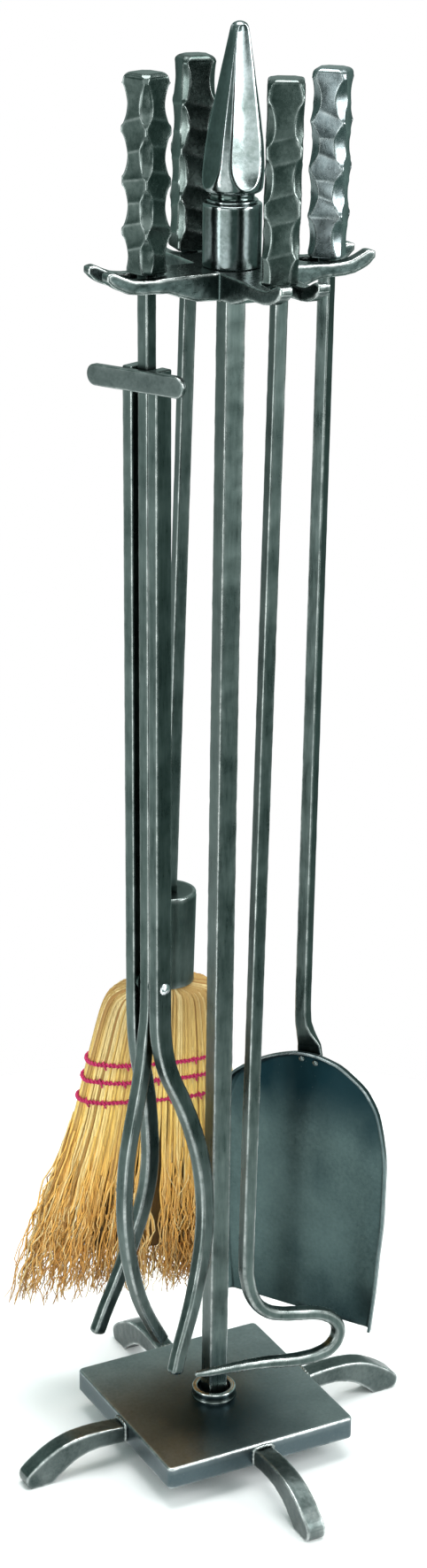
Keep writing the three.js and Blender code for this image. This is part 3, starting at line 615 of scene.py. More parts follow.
def finial():
    rows = [(818.6, 9.0, 12), (818.9, 13.4, 20), (819.4, 15.2, 20), (820.2, 16.4, 18), (821.5, 17.1, 17.4), (824, 17.4, 16.6), (828, 17.55, 15.6), (832, 17.55, 14.7), (837, 17.35, 14.1),
            (844, 16.8, 13.5), (851, 15.9, 12.8), (859, 14.6, 11.75), (867, 13.2, 10.55), (875, 11.8, 9.3), (883, 10.4, 8.05), (891, 9.0, 6.8), (898, 7.7, 5.75),
            (904, 6.6, 4.8), (908.5, 5.7, 4.25), (911, 5.0, 4.15), (912.6, 4.0, 4.0), (913.4, 2.8, 3.9), (913.85, 1.2, 3.9)]
    P = np.array(rows)
    zs = np.concatenate([np.array([818.6, 818.9, 819.4, 820.2, 820.9, 821.6, 822.4]), np.arange(823.4, 909, 1.15), np.array([909, 910, 911, 911.8, 912.5, 913.1, 913.6, 913.85])])
    R = np.interp(zs, P[:, 0], P[:, 1])
    F = np.interp(zs, P[:, 0], P[:, 2])
    nf, na = 6, 5
    verts, wear = [], []
    for z, r, f in zip(zs, R, F):
        amax = math.acos(min(f / r, 0.9985)) if f < r else 0.05
        for q in range(4):
            base = math.pi / 2 * q
            for j in range(-nf, nf + 1):
                t = j / nf
                t = math.copysign(abs(t) ** 0.8, t)
                a = amax * t
                rr = min(r, f / math.cos(a)) if f < r else r
                hollow = 0.55 * (1 - t * t) * smooth((amax - 0.1) / 0.4)
                rr = rr - hollow
                verts.append(vec(rr * math.cos(base + a), rr * math.sin(base + a), z))
                wear.append(0.8 if abs(j) == nf and amax > 0.06 else 0.12)
            for j in range(1, na + 1):
                a = amax + (math.pi / 2 - 2 * amax) * j / (na + 1)
                verts.append(vec(r * math.cos(base + a), r * math.sin(base + a), z))
                wear.append(0.5 if j in (1, na) else 0.25)
    n = 4 * (2 * nf + 1 + na)
    co = []
    for p in verts:
        d = 0.12 * noise.noise(Vector(p / 10))
        k = 1 + d / max(3, math.hypot(p[0], p[1]))
        lean = max(0, p[2] - 820) * 0.0277
        co.append(vec(p[0] * k + 0.88 * lean, p[1] * k - 0.4755 * lean, p[2]))
    piece("leaf_point", co, rings_to_faces(len(zs), n), "root", M["finial"], ["finial"], wear)


finial()

# ---------------------------------------------------------------- tools
TONGS = dict(top=(-54.2, 0), low=(-49.0, 2.0), yaw=-71.4)
POKER = dict(top=(-0.6, -57.6), low=(-4.2, -52.4), yaw=0)
BRUSH = dict(top=(0.2, 52.4), low=(0.2, 72.1), yaw=-12.4)
SHOVEL = dict(top=(63.2, 0.4), low=(60.4, 0.4), yaw=-59)


class Axis:
    def __init__(self, tool, yaw=None):
        a = rad(tool["yaw"] if yaw is None else yaw)
        self.d, self.n, self.tool = vec(math.cos(a), math.sin(a), 0), vec(-math.sin(a), math.cos(a), 0), tool

    def axis(self, z):
        t = (775 - z) / 440
        (x0, y0), (x1, y1) = self.tool["top"], self.tool["low"]
        return vec(x0 + (x1 - x0) * t, y0 + (y1 - y0) * t, z)

    def at(self, a, b, z):
        return self.axis(z) + self.d * a + self.n * b


def grip(name, tool, yaw, body, node, knocks, ridges, top_round=3.0, seed=0.0, length=113.0, deep=4.3, half=10.35, look="grip"):
    """Square bar with its corners knocked back in almond facets and its faces planished in slanting panels.
    knocks: heights of the middles of the almonds; ridges: four lists of (height, slope) between panels, one per face."""
    F = Axis(tool, yaw)
    z0, z1 = 777.4, 777.4 + length
    zs = [z0, z0 + 0.25, z0 + 0.8, z0 + 1.6, z0 + 2.4] + list(np.arange(z0 + 3.2, z1 - top_round, 0.8)) + [z1 - top_round + top_round * math.sin(rad(a)) for a in (6, 15, 24, 33, 42, 51, 60, 69, 78, 86)] + [z1]
    zs = sorted(set(zs))
    L = 12.4
    verts, wear, tone_and_painted_shade = [], [], []
    us = np.array([-1, -0.955, -0.82, -0.62, -0.4, -0.2, 0, 0.2, 0.4, 0.62, 0.82, 0.955, 1])
    cs = np.array([0.07, 0.28, 0.5, 0.72, 0.93])
    for z in zs:
        end = 0.0
        if z < z0 + 2.4:
            end = 2.0 * (1 - math.sqrt(max(0, 1 - ((z0 + 2.4 - z) / 2.4) ** 2)))
        if z > z1 - top_round:
            t = (z - (z1 - top_round)) / top_round
            end = top_round * (1 - math.sqrt(max(0, 1 - t * t)))
        h0 = half + 0.25 * noise.noise(Vector((seed, 1, z / 21))) - end
        for q in range(4):
            # chamfer of the corner after face q
            def chamfer(corner):
                c = 1.25
                edge = 0.0
                for i, zk in enumerate(knocks):
                    off = 1.6 * noise.noise(Vector((seed + corner * 3.1, i * 2.3, 0.5)))
                    t = abs(z - zk - off) / L
                    if t < 1:
                        c = max(c, 1.25 + deep * (1 - t * t) ** 0.85)
                if z > z1 - 9:
                    c = max(c, 1.8 + 1.6 * smooth((z - (z1 - 8)) / 8))
                return c

            c_here, c_prev = chamfer(q), chamfer((q + 3) % 4)
            w_hi, w_lo = h0 - c_here, h0 - c_prev
            ang = math.pi / 2 * q
            nx, ny = math.cos(ang), math.sin(ang)
            tx, ty = -math.sin(ang), math.cos(ang)
            rz = ridges[q]
            for u in us:
                s = u * (w_hi if u > 0 else w_lo)
                # panel scoop between the two nearest ridges
                lo, hi = z0 - 9, z1 + 6
                for zr, sl in rz:
                    r_here = zr + sl * s
                    if r_here <= z:
                        lo = max(lo, r_here)
                    else:
                        hi = min(hi, r_here)
                mid, hl = (lo + hi) / 2, max((hi - lo) / 2, 2)
                t = (z - mid) / hl
                depth = 0.8 * (1 - t * t) * min(1, hl / 7.5) * (1 - 0.35 * u * u)
                near = min(abs(z - lo), abs(hi - z))
                dep = h0 - depth * (1 if end < 0.3 else 0.2)
                p = F.at(nx * dep + tx * s, ny * dep + ty * s, z)
                verts.append(p)
                w = 0.26 * math.exp(-((near / 0.7) ** 2)) if z0 + 3 < z < z1 - 4 else 0
                if abs(u) > 0.94 and end < 0.2:
                    w = max(w, 0.26)
                if 0.4 < end < 1.4 and z > z1 - 8:
                    w = max(w, 0.22)
                wear.append(w)
            # corner facet, slightly hollow
            a = vec(nx * h0 + tx * w_hi, ny * h0 + ty * w_hi, 0)
            nx2, ny2 = tx, ty
            tx2, ty2 = -nx, -ny
            b = vec(nx2 * h0 + tx2 * -w_hi, ny2 * h0 + ty2 * -w_hi, 0)
            out = unit(a + b)
            wide = np.linalg.norm(b - a)
            for t in cs:
                bulge = 0.32 * wide * 0.5 * (1 - (2 * t - 1) ** 2) if wide < 3.2 else -0.10 * (wide - 3.2) * (1 - (2 * t - 1) ** 2) * 0.5
                m = a + (b - a) * t + out * bulge
                p = F.at(m[0], m[1], z)
                verts.append(p)
                w = 0.12 if end > 0.2 else 0.34 if wide < 2.4 else (0.27 if t in (0.07, 0.93) else 0.05)
                wear.append(w)
    n = 4 * (len(us) + len(cs))
    co = []
    for p in verts:
        c = F.axis(p[2])
        d = 0.14 * noise.noise(Vector(p / 7) + Vector((seed, 0, 0)))
        co.append(p + unit(p - c + vec(1e-6, 0, 0)) * d)
    piece(name, co, rings_to_faces(len(zs), n), body, M[look], [node], wear)


def panels(rng, start, gap, count, slope):
    """ridge heights of one face, from the top down"""
    z, out = start, []
    for _ in range(count):
        out.append((z, slope + rng.uniform(-0.08, 0.08)))
        z -= gap * rng.uniform(0.78, 1.22)
    return out


r1 = random.Random(11)
KNOCKS = (872.0, 843.0, 814.5, 787.0)
grip("grip_tongs", TONGS, -71.4, "tongs", "tongs_handle", KNOCKS,
     [panels(r1, 864, 14.5, 6, s) for s in (-0.2, 0.25, -0.2, 0.22)], 3.4, 1.0, 111.5, 4.6)
grip("grip_brush", BRUSH, -10, "brush", "brush_handle", (876.0, 849.5, 822.0, 795.0),
     [panels(r1, 862, 14.5, 6, s) for s in (0.2, -0.22, 0.2, -0.25)], 4.2, 2.0, 112.4, 3.6)
grip("grip_poker", POKER, -28.4, "poker", "poker_handle", (866.0, 836.5, 804.5, 782.0),
     [panels(r1, 861, 15, 6, 0.2), panels(r1, 866, 15, 6, -0.2), panels(r1, 858, 15, 6, 0.2), [(859, 0.25), (845.5, 0.25), (828, 0.28), (813, 0.26), (795, 0.25)]], 2.8, 3.0, 113.2, 4.0)
# the shovel's grip uses the paler grip iron, a painted highlight
grip("grip_shovel", SHOVEL, -43.4, "shovel", "shovel_handle", (868.0, 842.0, 815.0, 789.0),
     [panels(r1, 866, 15, 6, -0.25), panels(r1, 860, 15, 6, 0.3), panels(r1, 866, 15, 6, -0.25), [(860, -0.35), (846, -0.05), (836, -0.3), (822, -0.05), (812, -0.35), (801, 0.0)]], 3.6, 4.0, 107.8, 5.0, look="grip_painted_highlight")


def bar_rows(F, z_top, z_low, step=5.0):
    n = max(2, int(round((z_top - z_low) / step)))
    return [F.axis(z_top + (z_low - z_top) * i / n) for i in range(n + 1)]


def scuff(v, w, scale=13.0, gain=0.55):
    return [min(1, max(0, x * gain * (0.75 + 0.7 * noise.noise(Vector(p / scale))))) for x, p in zip(w, v)]


# the tongs' own bar, which ends in the outer claw
HB = 3.97
CLAW = [(360, 0), (320, -0.4), (300, -2.6), (280, -5.6), (260, -10), (240, -15.2), (220, -19.6), (200, -21.6), (180, -21.9), (160, -20), (140, -16.2),
        (124, -11.8), (110, -6.6), (98, -0.8), (88, 4.7), (80.6, 9), (78.6, 10.2)]
CLAWS = [(360, 0, 10), (320, 0, 10), (305, 0.3, 10.1), (290, 2, 10.8), (275, 5.4, 12.4), (258, 11.8, 15.6), (240, 17.4, 18.8), (220, 22, 21.6), (200, 24.6, 23.6),
         (180, 24.8, 25.6), (160, 22, 28), (140, 16, 30.4), (120, 8.4, 32.6), (102, 0, 34.3), (90, -6, 35.4), (80.6, -9.8, 36.3), (78.4, -10.9, 36.5)]


def tongs():
    F = Axis(TONGS)
    rows = bar_rows(F, 777.2, 365, 5) + list(spline([F.at(0, b, z) for z, b in CLAW], 2.5))
    path = np.array(rows)

    def size(i):
        z = path[i][2]
        k = 1 - 0.06 * smooth((150 - z) / 60)
        claw = smooth((330 - z) / 40)
        return HB * (1 + 0.06 * claw) * k, HB * (1 + 0.04 * claw) * k, 0.9 + 0.4 * claw

    v, f, w = sweep(path, F.d, size, 0.13, 8, 0, 2.6, seed=1)
    piece("tongs_bar", v, f, "tongs", M["bar"], ["tongs_shaft"], scuff(v, w))
    for name, sign in (("left", -1), ("right", 1)):
        # the right claw's point is set in a little closer than the left one's
        inward = lambda z: 2.9 * min(1, max(0, (210 - z) / 130)) if sign > 0 else 0.0
        rows = [F.at(10 * sign, 0, z) for z in np.arange(722.2, 362, -5)] + list(spline([F.at((s - inward(z)) * sign, b, z) for z, b, s in CLAWS], 2.5))
        path2 = np.array(rows)

        def size2(i):
            z = path2[i][2]
            k = 1 - 0.1 * smooth((150 - z) / 60)
            claw = smooth((320 - z) / 70)
            # flat bar above, drawn round towards the claw
            return 3.8 * (1 + 0.06 * claw) * k, (6.3 - 0.9 * claw) * k, 0.9 + 0.9 * claw

        v, f, w = sweep(path2, F.d, size2, 0.13, 8, 0.9, 3.0, seed=2 + sign)
        piece(f"tongs_lever_{name}", v, f, "tongs_levers", M["bar"], [f"tongs_{name}_lever"], scuff(v, w))
    # crossbar with rounded ends
    t = rad(-3.4)
    out = -F.n
    u = unit(F.d * math.cos(t) - vec(0, 0, 1) * math.sin(t))
    c0 = F.at(0, -6.6, 716.6) + out * 2.2
    R, half = 6.25, 77 / 2 - 6.25
    xs = [-half - R * math.cos(rad(a)) for a in (0, 12, 24, 36, 48, 60, 72, 84)]
    xs = xs + list(np.linspace(-half, half, 24)) + [-x for x in xs[::-1]]
    path3 = np.array([c0 + u * x for x in xs])

    def size3(i):
        x = abs(xs[i])
        w = R if x <= half else math.sqrt(max(0.3, R * R - (x - half) ** 2))
        th = 2.2 if x <= half else max(1.1, 2.2 - 0.9 * (1 - w / R))
        return max(w, 0.7), th, 0.8

    v, f, w = sweep(path3, np.cross(out, u), size3, 0.10, 9, seed=9)
    piece("tongs_cross_strip", v, f, "tongs_levers", M["foot"], ["tongs_crossbar"], scuff(v, w, 10, 0.6))
    # rivet: domed heads either side
    q = 13.8
    verts, faces = [], []
    prof = [(0.01, -q - 2.3), (1.3, -q - 2.2), (2.6, -q - 1.75), (3.6, -q - 1.1), (4.05, -q - 0.35), (4.05, -q - 0.05), (2.35, -q), (2.35, q), (4.05, q + 0.05), (4.05, q + 0.35), (3.6, q + 1.1), (2.6, q + 1.75), (1.3, q + 2.2), (0.01, q + 2.3)]
    o = F.axis(336)
    for r, s in prof:
        for j in range(28):
            a = 2 * math.pi * j / 28
            verts.append(o + F.d * s + F.n * r * math.cos(a) + vec(0, 0, r * math.sin(a)))
    faces = rings_to_faces(len(prof), 28)
    piece("tongs_rivet", verts, faces, "tongs", M["steel"], ["tongs_pivot_rivet"], np.zeros(len(verts)))


tongs()


# ---------------------------------------------------------------- brush
FAN = [(352, 15.4, 15.4, 15.4), (298.5, 15.2, 15.2, 15.2), (297, 17, 17, 15.8), (296.2, 24, 22, 16.4), (295, 30.5, 28, 17.6), (293, 36, 32, 18.2), (288, 39.5, 35, 18.5), (280, 42.5, 37, 18.6), (268, 45.5, 39.5, 18.4),
       (244, 51, 44, 17.8), (220, 56, 47, 17.2), (204, 59.5, 49.5, 16.8), (180, 66, 52.5, 16.4), (157, 73, 54.5, 16), (119, 84, 57.5, 15.4), (84, 93.5, 60.5, 14.8), (66, 95.5, 61, 14.2)]
STITCHES = (("upper", 246.5), ("middle", 234.0), ("lower", 219.5))
FZ = np.array([f[0] for f in FAN][::-1], float)
FL, FR, FB = (np.array([f[k] for f in FAN][::-1], float) for k in (1, 2, 3))


def fan_at(z):
    return np.interp(z, FZ, FL), np.interp(z, FZ, FR), np.interp(z, FZ, FB)


def pinch(z):
    """how far the stitching draws the straw in"""
    return 1 - 0.10 * sum(math.exp(-(((z - s) / 5.5) ** 2)) for _, s in STITCHES) / 1.3


CLUMPS = 66
CLUMP_RNG = random.Random(5)
CLUMP = [(CLUMP_RNG.uniform(-0.32, 0.32), CLUMP_RNG.random() ** 0.8, CLUMP_RNG.uniform(0.5, 0.95)) for _ in range(CLUMPS)]


def clump_of(phi):
    return int(math.floor((phi % (2 * math.pi)) / (2 * math.pi) * CLUMPS)) % CLUMPS


def straw_point(F, phi, q, z, dx=0.0, dy=0.0, gather=True):
    if gather and z < 214:
        # below the stitching the stalks draw together in tufts with dark gaps between them
        phi = phi % (2 * math.pi)
        i = clump_of(phi)
        mid = (i + 0.5 + CLUMP[i][0]) * 2 * math.pi / CLUMPS
        phi = phi + (mid - phi) * CLUMP[i][2] * smooth((214 - z) / 90)
    l, r, b = fan_at(z)
    c, s = math.cos(phi), math.sin(phi)
    k = pinch(z) if z < 270 else 1
    # fuller than an ellipse, so the broad sides are flat
    p = 0.8
    x = (l if c < 0 else r) * q * math.copysign(abs(c) ** p, c) + dx
    y = b * q * k * math.copysign(abs(s) ** p, s) + dy
    return F.at(x, y, z)


def tube(path, radii, sides, verts, faces, extras, extra_rows):
    """adds one thin stalk to shared lists"""
    k0 = len(verts)
    T = np.gradient(path, axis=0)
    T /= np.linalg.norm(T, axis=1)[:, None] + 1e-9
    ref = vec(0.3, 0.9, 0.2)
    X = np.cross(T, ref)
    X /= np.linalg.norm(X, axis=1)[:, None] + 1e-9
    Y = np.cross(T, X)
    for i in range(len(path)):
        for j in range(sides):
            a = 2 * math.pi * j / sides
            verts.append(path[i] + radii[i] * (X[i] * math.cos(a) + Y[i] * math.sin(a)))
            for e, row in zip(extras, extra_rows):
                e.append(row[i])
    faces += rings_to_faces(len(path), sides, start=k0)


def brush():
    F = Axis(BRUSH)
    # bar
    path = np.array(bar_rows(F, 777.2, 362.4, 5))
    v, f, w = sweep(path, Axis(BRUSH, -3).d, lambda i: (HB, HB, 0.9), 0.13, 8, seed=5)
    piece("brush_bar", v, f, "brush", M["bar"], ["brush_shaft"], scuff(v, w))
    # can
    ro, ri, z0, z1 = 17.5, 16.2, 299.4, 363.0
    prof = [(4.3, z1 - 0.9), (9, z1 - 0.55), (14.6, z1 - 0.25), (15.6, z1)] + arc(ro - 1.5, z1 - 1.3, 1.3, 80, 5, 5) + [(ro - 0.25, z1 - 2.4), (ro, z1 - 3.6), (ro, z1 - 6), (ro + 0.02, z1 - 20), (ro, z1 - 34), (ro, z1 - 50), (ro, z0 + 5), (ro + 0.1, z0 + 2.6)]
    prof += arc(ro - 0.35, z0 + 0.7, 0.7, 20, -140, 6) + [(ri, z0 + 1.6), (ri, z0 + 12)]
    wear = [0, 0, 0.1, 0.9] + [1] * 6 + [0.3, 0, 0, 0, 0, 0, 0, 0.2] + [0.8] * 7 + [0, 0]
    at = lambda x, y, z: F.at(x, y, z)
    v, f, w = lathe(prof, 64, wear=wear, axis_frame=at)
    v = [p + unit((p - F.axis(p[2])) * (1, 1, 0) + 1e-9) * 0.10 * noise.noise(Vector(p / 12)) for p in v]
    piece("ferrule_can", v, f, "brush", M["ferrule"], ["brush_ferrule"], w)
    # nail head
    na = rad(-108)
    o = F.at(17.4 * math.cos(na), 17.4 * math.sin(na), 329)
    out = unit(F.d * math.cos(na) + F.n * math.sin(na))
    side = np.cross((0, 0, 1), out)
    prof = [(0.8, -4.0), (0.85, 0.0), (1.95, 0.1), (2.1, 0.45), (1.75, 0.9), (1.1, 1.2), (0.4, 1.32), (0.02, 1.34)]
    verts = [o + out * s + side * r * math.cos(2 * math.pi * j / 20) + vec(0, 0, r * math.sin(2 * math.pi * j / 20)) for r, s in prof for j in range(20)]
    piece("ferrule_nail", verts, rings_to_faces(len(prof), 20), "brush", M["copper"], ["brush_ferrule_nail"], np.zeros(len(verts)))
    # inner bundle, which fills the straw so that no light comes through; it is the straw at 0.17 of its brightness,
    # painted shade for the gaps between the stalks
    rows, verts, along, tone_and_painted_shade = [], [], [], []
    zs = [299, 297, 295, 292, 288, 282, 275] + list(range(268, 100, -4))
    n = 96
    for z in zs:
        for j in range(n):
            phi = 2 * math.pi * j / n
            q = 0.89 + 0.03 * noise.noise(Vector((math.cos(phi) * 9, math.sin(phi) * 9, z / 40)))
            q -= 0.16 * smooth((215 - z) / 60)
            if z < 150:
                q -= 0.2 * (150 - z) / 50
            verts.append(straw_point(F, phi, q, z, gather=False))
            along.append(max(0, min(1, (298 - z) / 232)))
            tone_and_painted_shade.append(0.4 + 0.6 * noise.noise(Vector((math.cos(phi) * 14, math.sin(phi) * 14, z / 60))))
    piece("straw_core_painted_shade", verts, rings_to_faces(len(zs), n), "brush", M["straw_core_painted_shade"], ["brush_bristles"], tone_and_painted_shade=tone_and_painted_shade, along=along)
    # stalks
    rng = random.Random(21)
    verts, faces, along, tone_and_painted_shade = [], [], [], []
    N = 540
    for i in range(N):
        phi = 2 * math.pi * (i + rng.uniform(-0.5, 0.5)) / N * 1.0 + (i % 3) * 2.1
        q = rng.uniform(0.91, 1.0)
        z_end = rng.uniform(88, 170)
        n = 26
        zs = 299 - (299 - z_end) * (np.linspace(0, 1, n) ** 1.45)
        amp = rng.uniform(0.2, 2.6)
        ph, wl = rng.uniform(0, 6.3), rng.uniform(26, 60)
        drift = rng.uniform(-4.5, 4.5)
        t = 0.5 * rng.random() + 0.5 * CLUMP[clump_of(phi)][1]
        pts, rad_, al = [], [], []
        r0 = rng.uniform(0.7, 1.2)
        for z in zs:
            free = smooth((205 - z) / 110)
            dx = free * (amp * math.sin(z / wl * 6.28 + ph) + drift)
            dy = free * (amp * 0.7 * math.cos(z / wl * 6.28 + ph * 2))
            local = q if z < 296 else q * 0.96
            pts.append(straw_point(F, phi, local, z, dx, dy))
            rad_.append(r0 * (1 - 0.55 * smooth((210 - z) / 120)))
            al.append(min(1, max(0, (298 - z) / 232)))
        rad_[-1] *= 0.3
        tube(np.array(pts), rad_, 5, verts, faces, (along, tone_and_painted_shade), (al, [t] * n))
    piece("straw_stalks", verts, faces, "brush", M["straw"], (), tone_and_painted_shade=tone_and_painted_shade, along=along)
    # fine, curly fibres of the lower half
    for part, count in (("a", 640), ("b", 640)):
        verts, faces, along, tone_and_painted_shade = [], [], [], []
        for i in range(count):
            phi = rng.uniform(0, 2 * math.pi)
            outer = rng.random() < 0.5
            q = rng.uniform(0.9, 1.04) if outer else rng.uniform(0.2, 0.85)
            z_top = rng.uniform(150, 206) if outer else rng.uniform(110, 150)
            z_end = rng.uniform(68, 84) if rng.random() < 0.62 else rng.uniform(84, 130)
            n = 15
            zs = np.linspace(z_top, z_end, n)
            a1, p1, w1 = rng.uniform(0.8, 3.0), rng.uniform(0, 6.3), rng.uniform(18, 42)
            a2, p2, w2 = rng.uniform(0.3, 1.3), rng.uniform(0, 6.3), rng.uniform(9, 17)
            lean = rng.gauss(0, 3.6)
            t = 0.5 * rng.random() + 0.5 * CLUMP[clump_of(phi)][1]
            r0 = rng.uniform(0.36, 0.72)
            pts, rad_, al = [], [], []
            for k, z in enumerate(zs):
                free = smooth((z_top - z) / 60)
                dx = free * (a1 * math.sin(z / w1 * 6.28 + p1) + a2 * math.sin(z / w2 * 6.28 + p2)) + lean * (free**1.5)
                dy = free * (a1 * math.cos(z / w1 * 6.28 + p2) * 0.8 + a2 * math.cos(z / w2 * 6.28 + p1) * 0.7)
                pts.append(straw_point(F, phi, q, z, dx, dy))
                rad_.append(r0 * (1 - 0.5 * k / n))
                al.append(min(1, max(0, (298 - z) / 232)))
            tube(np.array(pts), rad_, 4, verts, faces, (along, tone_and_painted_shade), (al, [t] * n))
        piece("straw_fibres_" + part, verts, faces, "brush", M["straw"], (), tone_and_painted_shade=tone_and_painted_shade, along=along)
    # stitching: two-ply cord round the fan, and the small loops that hold it down
    for name, z in STITCHES:
        centre = []
        steps = 420
        for i in range(steps):
            phi = 2 * math.pi * i / steps
            l, r, b = fan_at(z)
            r = r - 2.5
            k = pinch(z)
            c, s = math.cos(phi), math.sin(phi)
            p = 0.8
            x = (l if c < 0 else r) * math.copysign(abs(c) ** p, c)
            y = b * k * math.copysign(abs(s) ** p, s)
            side = unit(vec(x / (l * l), y / (b * b * k * k), 0) + 1e-9)
            sag = 1.6 * math.sin(phi * 1.0 + 1.57) * 0 + 0.5 * noise.noise(Vector((math.cos(phi) * 3, math.sin(phi) * 3, z)))
            centre.append(F.at(x + side[0] * 0.95, y + side[1] * 0.95, z + sag))
        centre = np.array(centre)
        d = np.linalg.norm(np.roll(centre, -1, 0) - centre, axis=1)
        run = np.concatenate([[0], np.cumsum(d)])[:-1]
        total = run[-1] + d[-1]
        turns = round(total / 5.2)
        T = np.roll(centre, -1, 0) - np.roll(centre, 1, 0)
        T /= np.linalg.norm(T, axis=1)[:, None]
        Z = vec(0, 0, 1)
        N_ = np.cross(T, Z)
        N_ /= np.linalg.norm(N_, axis=1)[:, None]
        B = np.cross(T, N_)
        verts, faces = [], []
        for ply in (0, 1):
            k0 = len(verts)
            for i in range(steps):
                a = 2 * math.pi * turns * run[i] / total + math.pi * ply
                c = centre[i] + (N_[i] * math.cos(a) + B[i] * math.sin(a)) * 0.78
                for j in range(7):
                    b_ = 2 * math.pi * j / 7
                    verts.append(c + (N_[i] * math.cos(b_) + B[i] * math.sin(b_)) * 0.9)
            faces += rings_to_faces(steps, 7, loop=True, start=k0)
        # loops: on each broad side, about every 15 mm, over the cord and into the straw below and above it
        every = int(round(total / 15))
        for m in range(every):
            i = int(m * steps / every)
            if abs(N_[i] @ F.n) < 0.5:
                continue
            o, t, nn = centre[i], T[i], N_[i]
            nn = nn if nn @ (o - F.axis(o[2])) > 0 else -nn
            pts = spline([o - nn * 1.9 + Z * 1.9 - t * 0.6, o + nn * 0.55 + Z * 1.5 - t * 0.5, o + nn * 1.15, o + nn * 0.6 - Z * 1.9 + t * 0.8, o + nn * 0.1 - Z * 3.4 + t * 1.3, o - nn * 1.7 - Z * 4.2 + t * 1.5], 0.9)
            k0 = len(verts)
            TT = np.gradient(pts, axis=0)
            TT /= np.linalg.norm(TT, axis=1)[:, None]
            XX = np.cross(TT, t)
            XX /= np.linalg.norm(XX, axis=1)[:, None]
            YY = np.cross(TT, XX)
            for q in range(len(pts)):
                for j in range(6):
                    a = 2 * math.pi * j / 6
                    verts.append(pts[q] + 0.55 * (XX[q] * math.cos(a) + YY[q] * math.sin(a)))
            faces += rings_to_faces(len(pts), 6, start=k0)
        piece("stitching_" + name, verts, faces, "brush", M["cord"], ["brush_stitch_" + name])


brush()


# ---------------------------------------------------------------- poker
def poker():
    F = Axis(POKER)
    hook = [(0, 300, 3.97), (0, 200, 3.97), (0.3, 160, 3.97), (1.4, 146, 3.95), (4.6, 132, 3.95), (10.4, 121.4, 3.95), (19, 114.4, 3.9), (29, 110.6, 3.85), (41, 107.8, 3.85),
            (52, 105.2, 3.85), (60, 101.6, 3.85), (66.4, 96.2, 3.85), (69.6, 89.4, 3.9), (68.6, 82, 3.9), (63.4, 76.4, 3.9), (55, 73.8, 3.85), (44, 73.6, 3.75), (31, 75.4, 3.6),
            (17, 78.1, 3.35), (2, 80.1, 3.0), (-13, 81.3, 2.6), (-25, 82.3, 2.1), (-33.4, 83.2, 1.4)]
    base = F.axis(110)
    rows = bar_rows(F, 777.2, 305, 5)
    knots = []
    for x, z, h in hook:
        c = F.axis(z) if z > 150 else vec(base[0], base[1], z)
        p = c + F.d * x
        knots.append([*p, h])
    sp = spline(knots, 2.2)
    path = np.array(rows + [r[:3] for r in sp])
    halves = [HB] * len(rows) + [r[3] for r in sp]
    start = len(rows)

    def size(i):
        h = halves[i]
        k = smooth((i - start - 45) / 40)
        flat = smooth((i - start - 130) / 40)
        beat = 0.0
        if i > start + 100:
            beat = 0.22 * math.sin(i * 0.9) * noise.noise(Vector((i * 0.21, 2, 2))) * 2
        return h * (1 + 0.05 * k) + beat, h * (1 + 0.05 * k - 0.05 * flat) - beat, 0.9 + (h * 0.62 - 0.9) * k

    T, X, Y = frames(path, F.n)
    v, f, w = sweep(path, F.n, size, 0.16, 7, 0, 1.1, seed=6)
    piece("poker_bar", v, f, "poker", M["bar"], ["poker_shaft"], scuff(v, w))


poker()


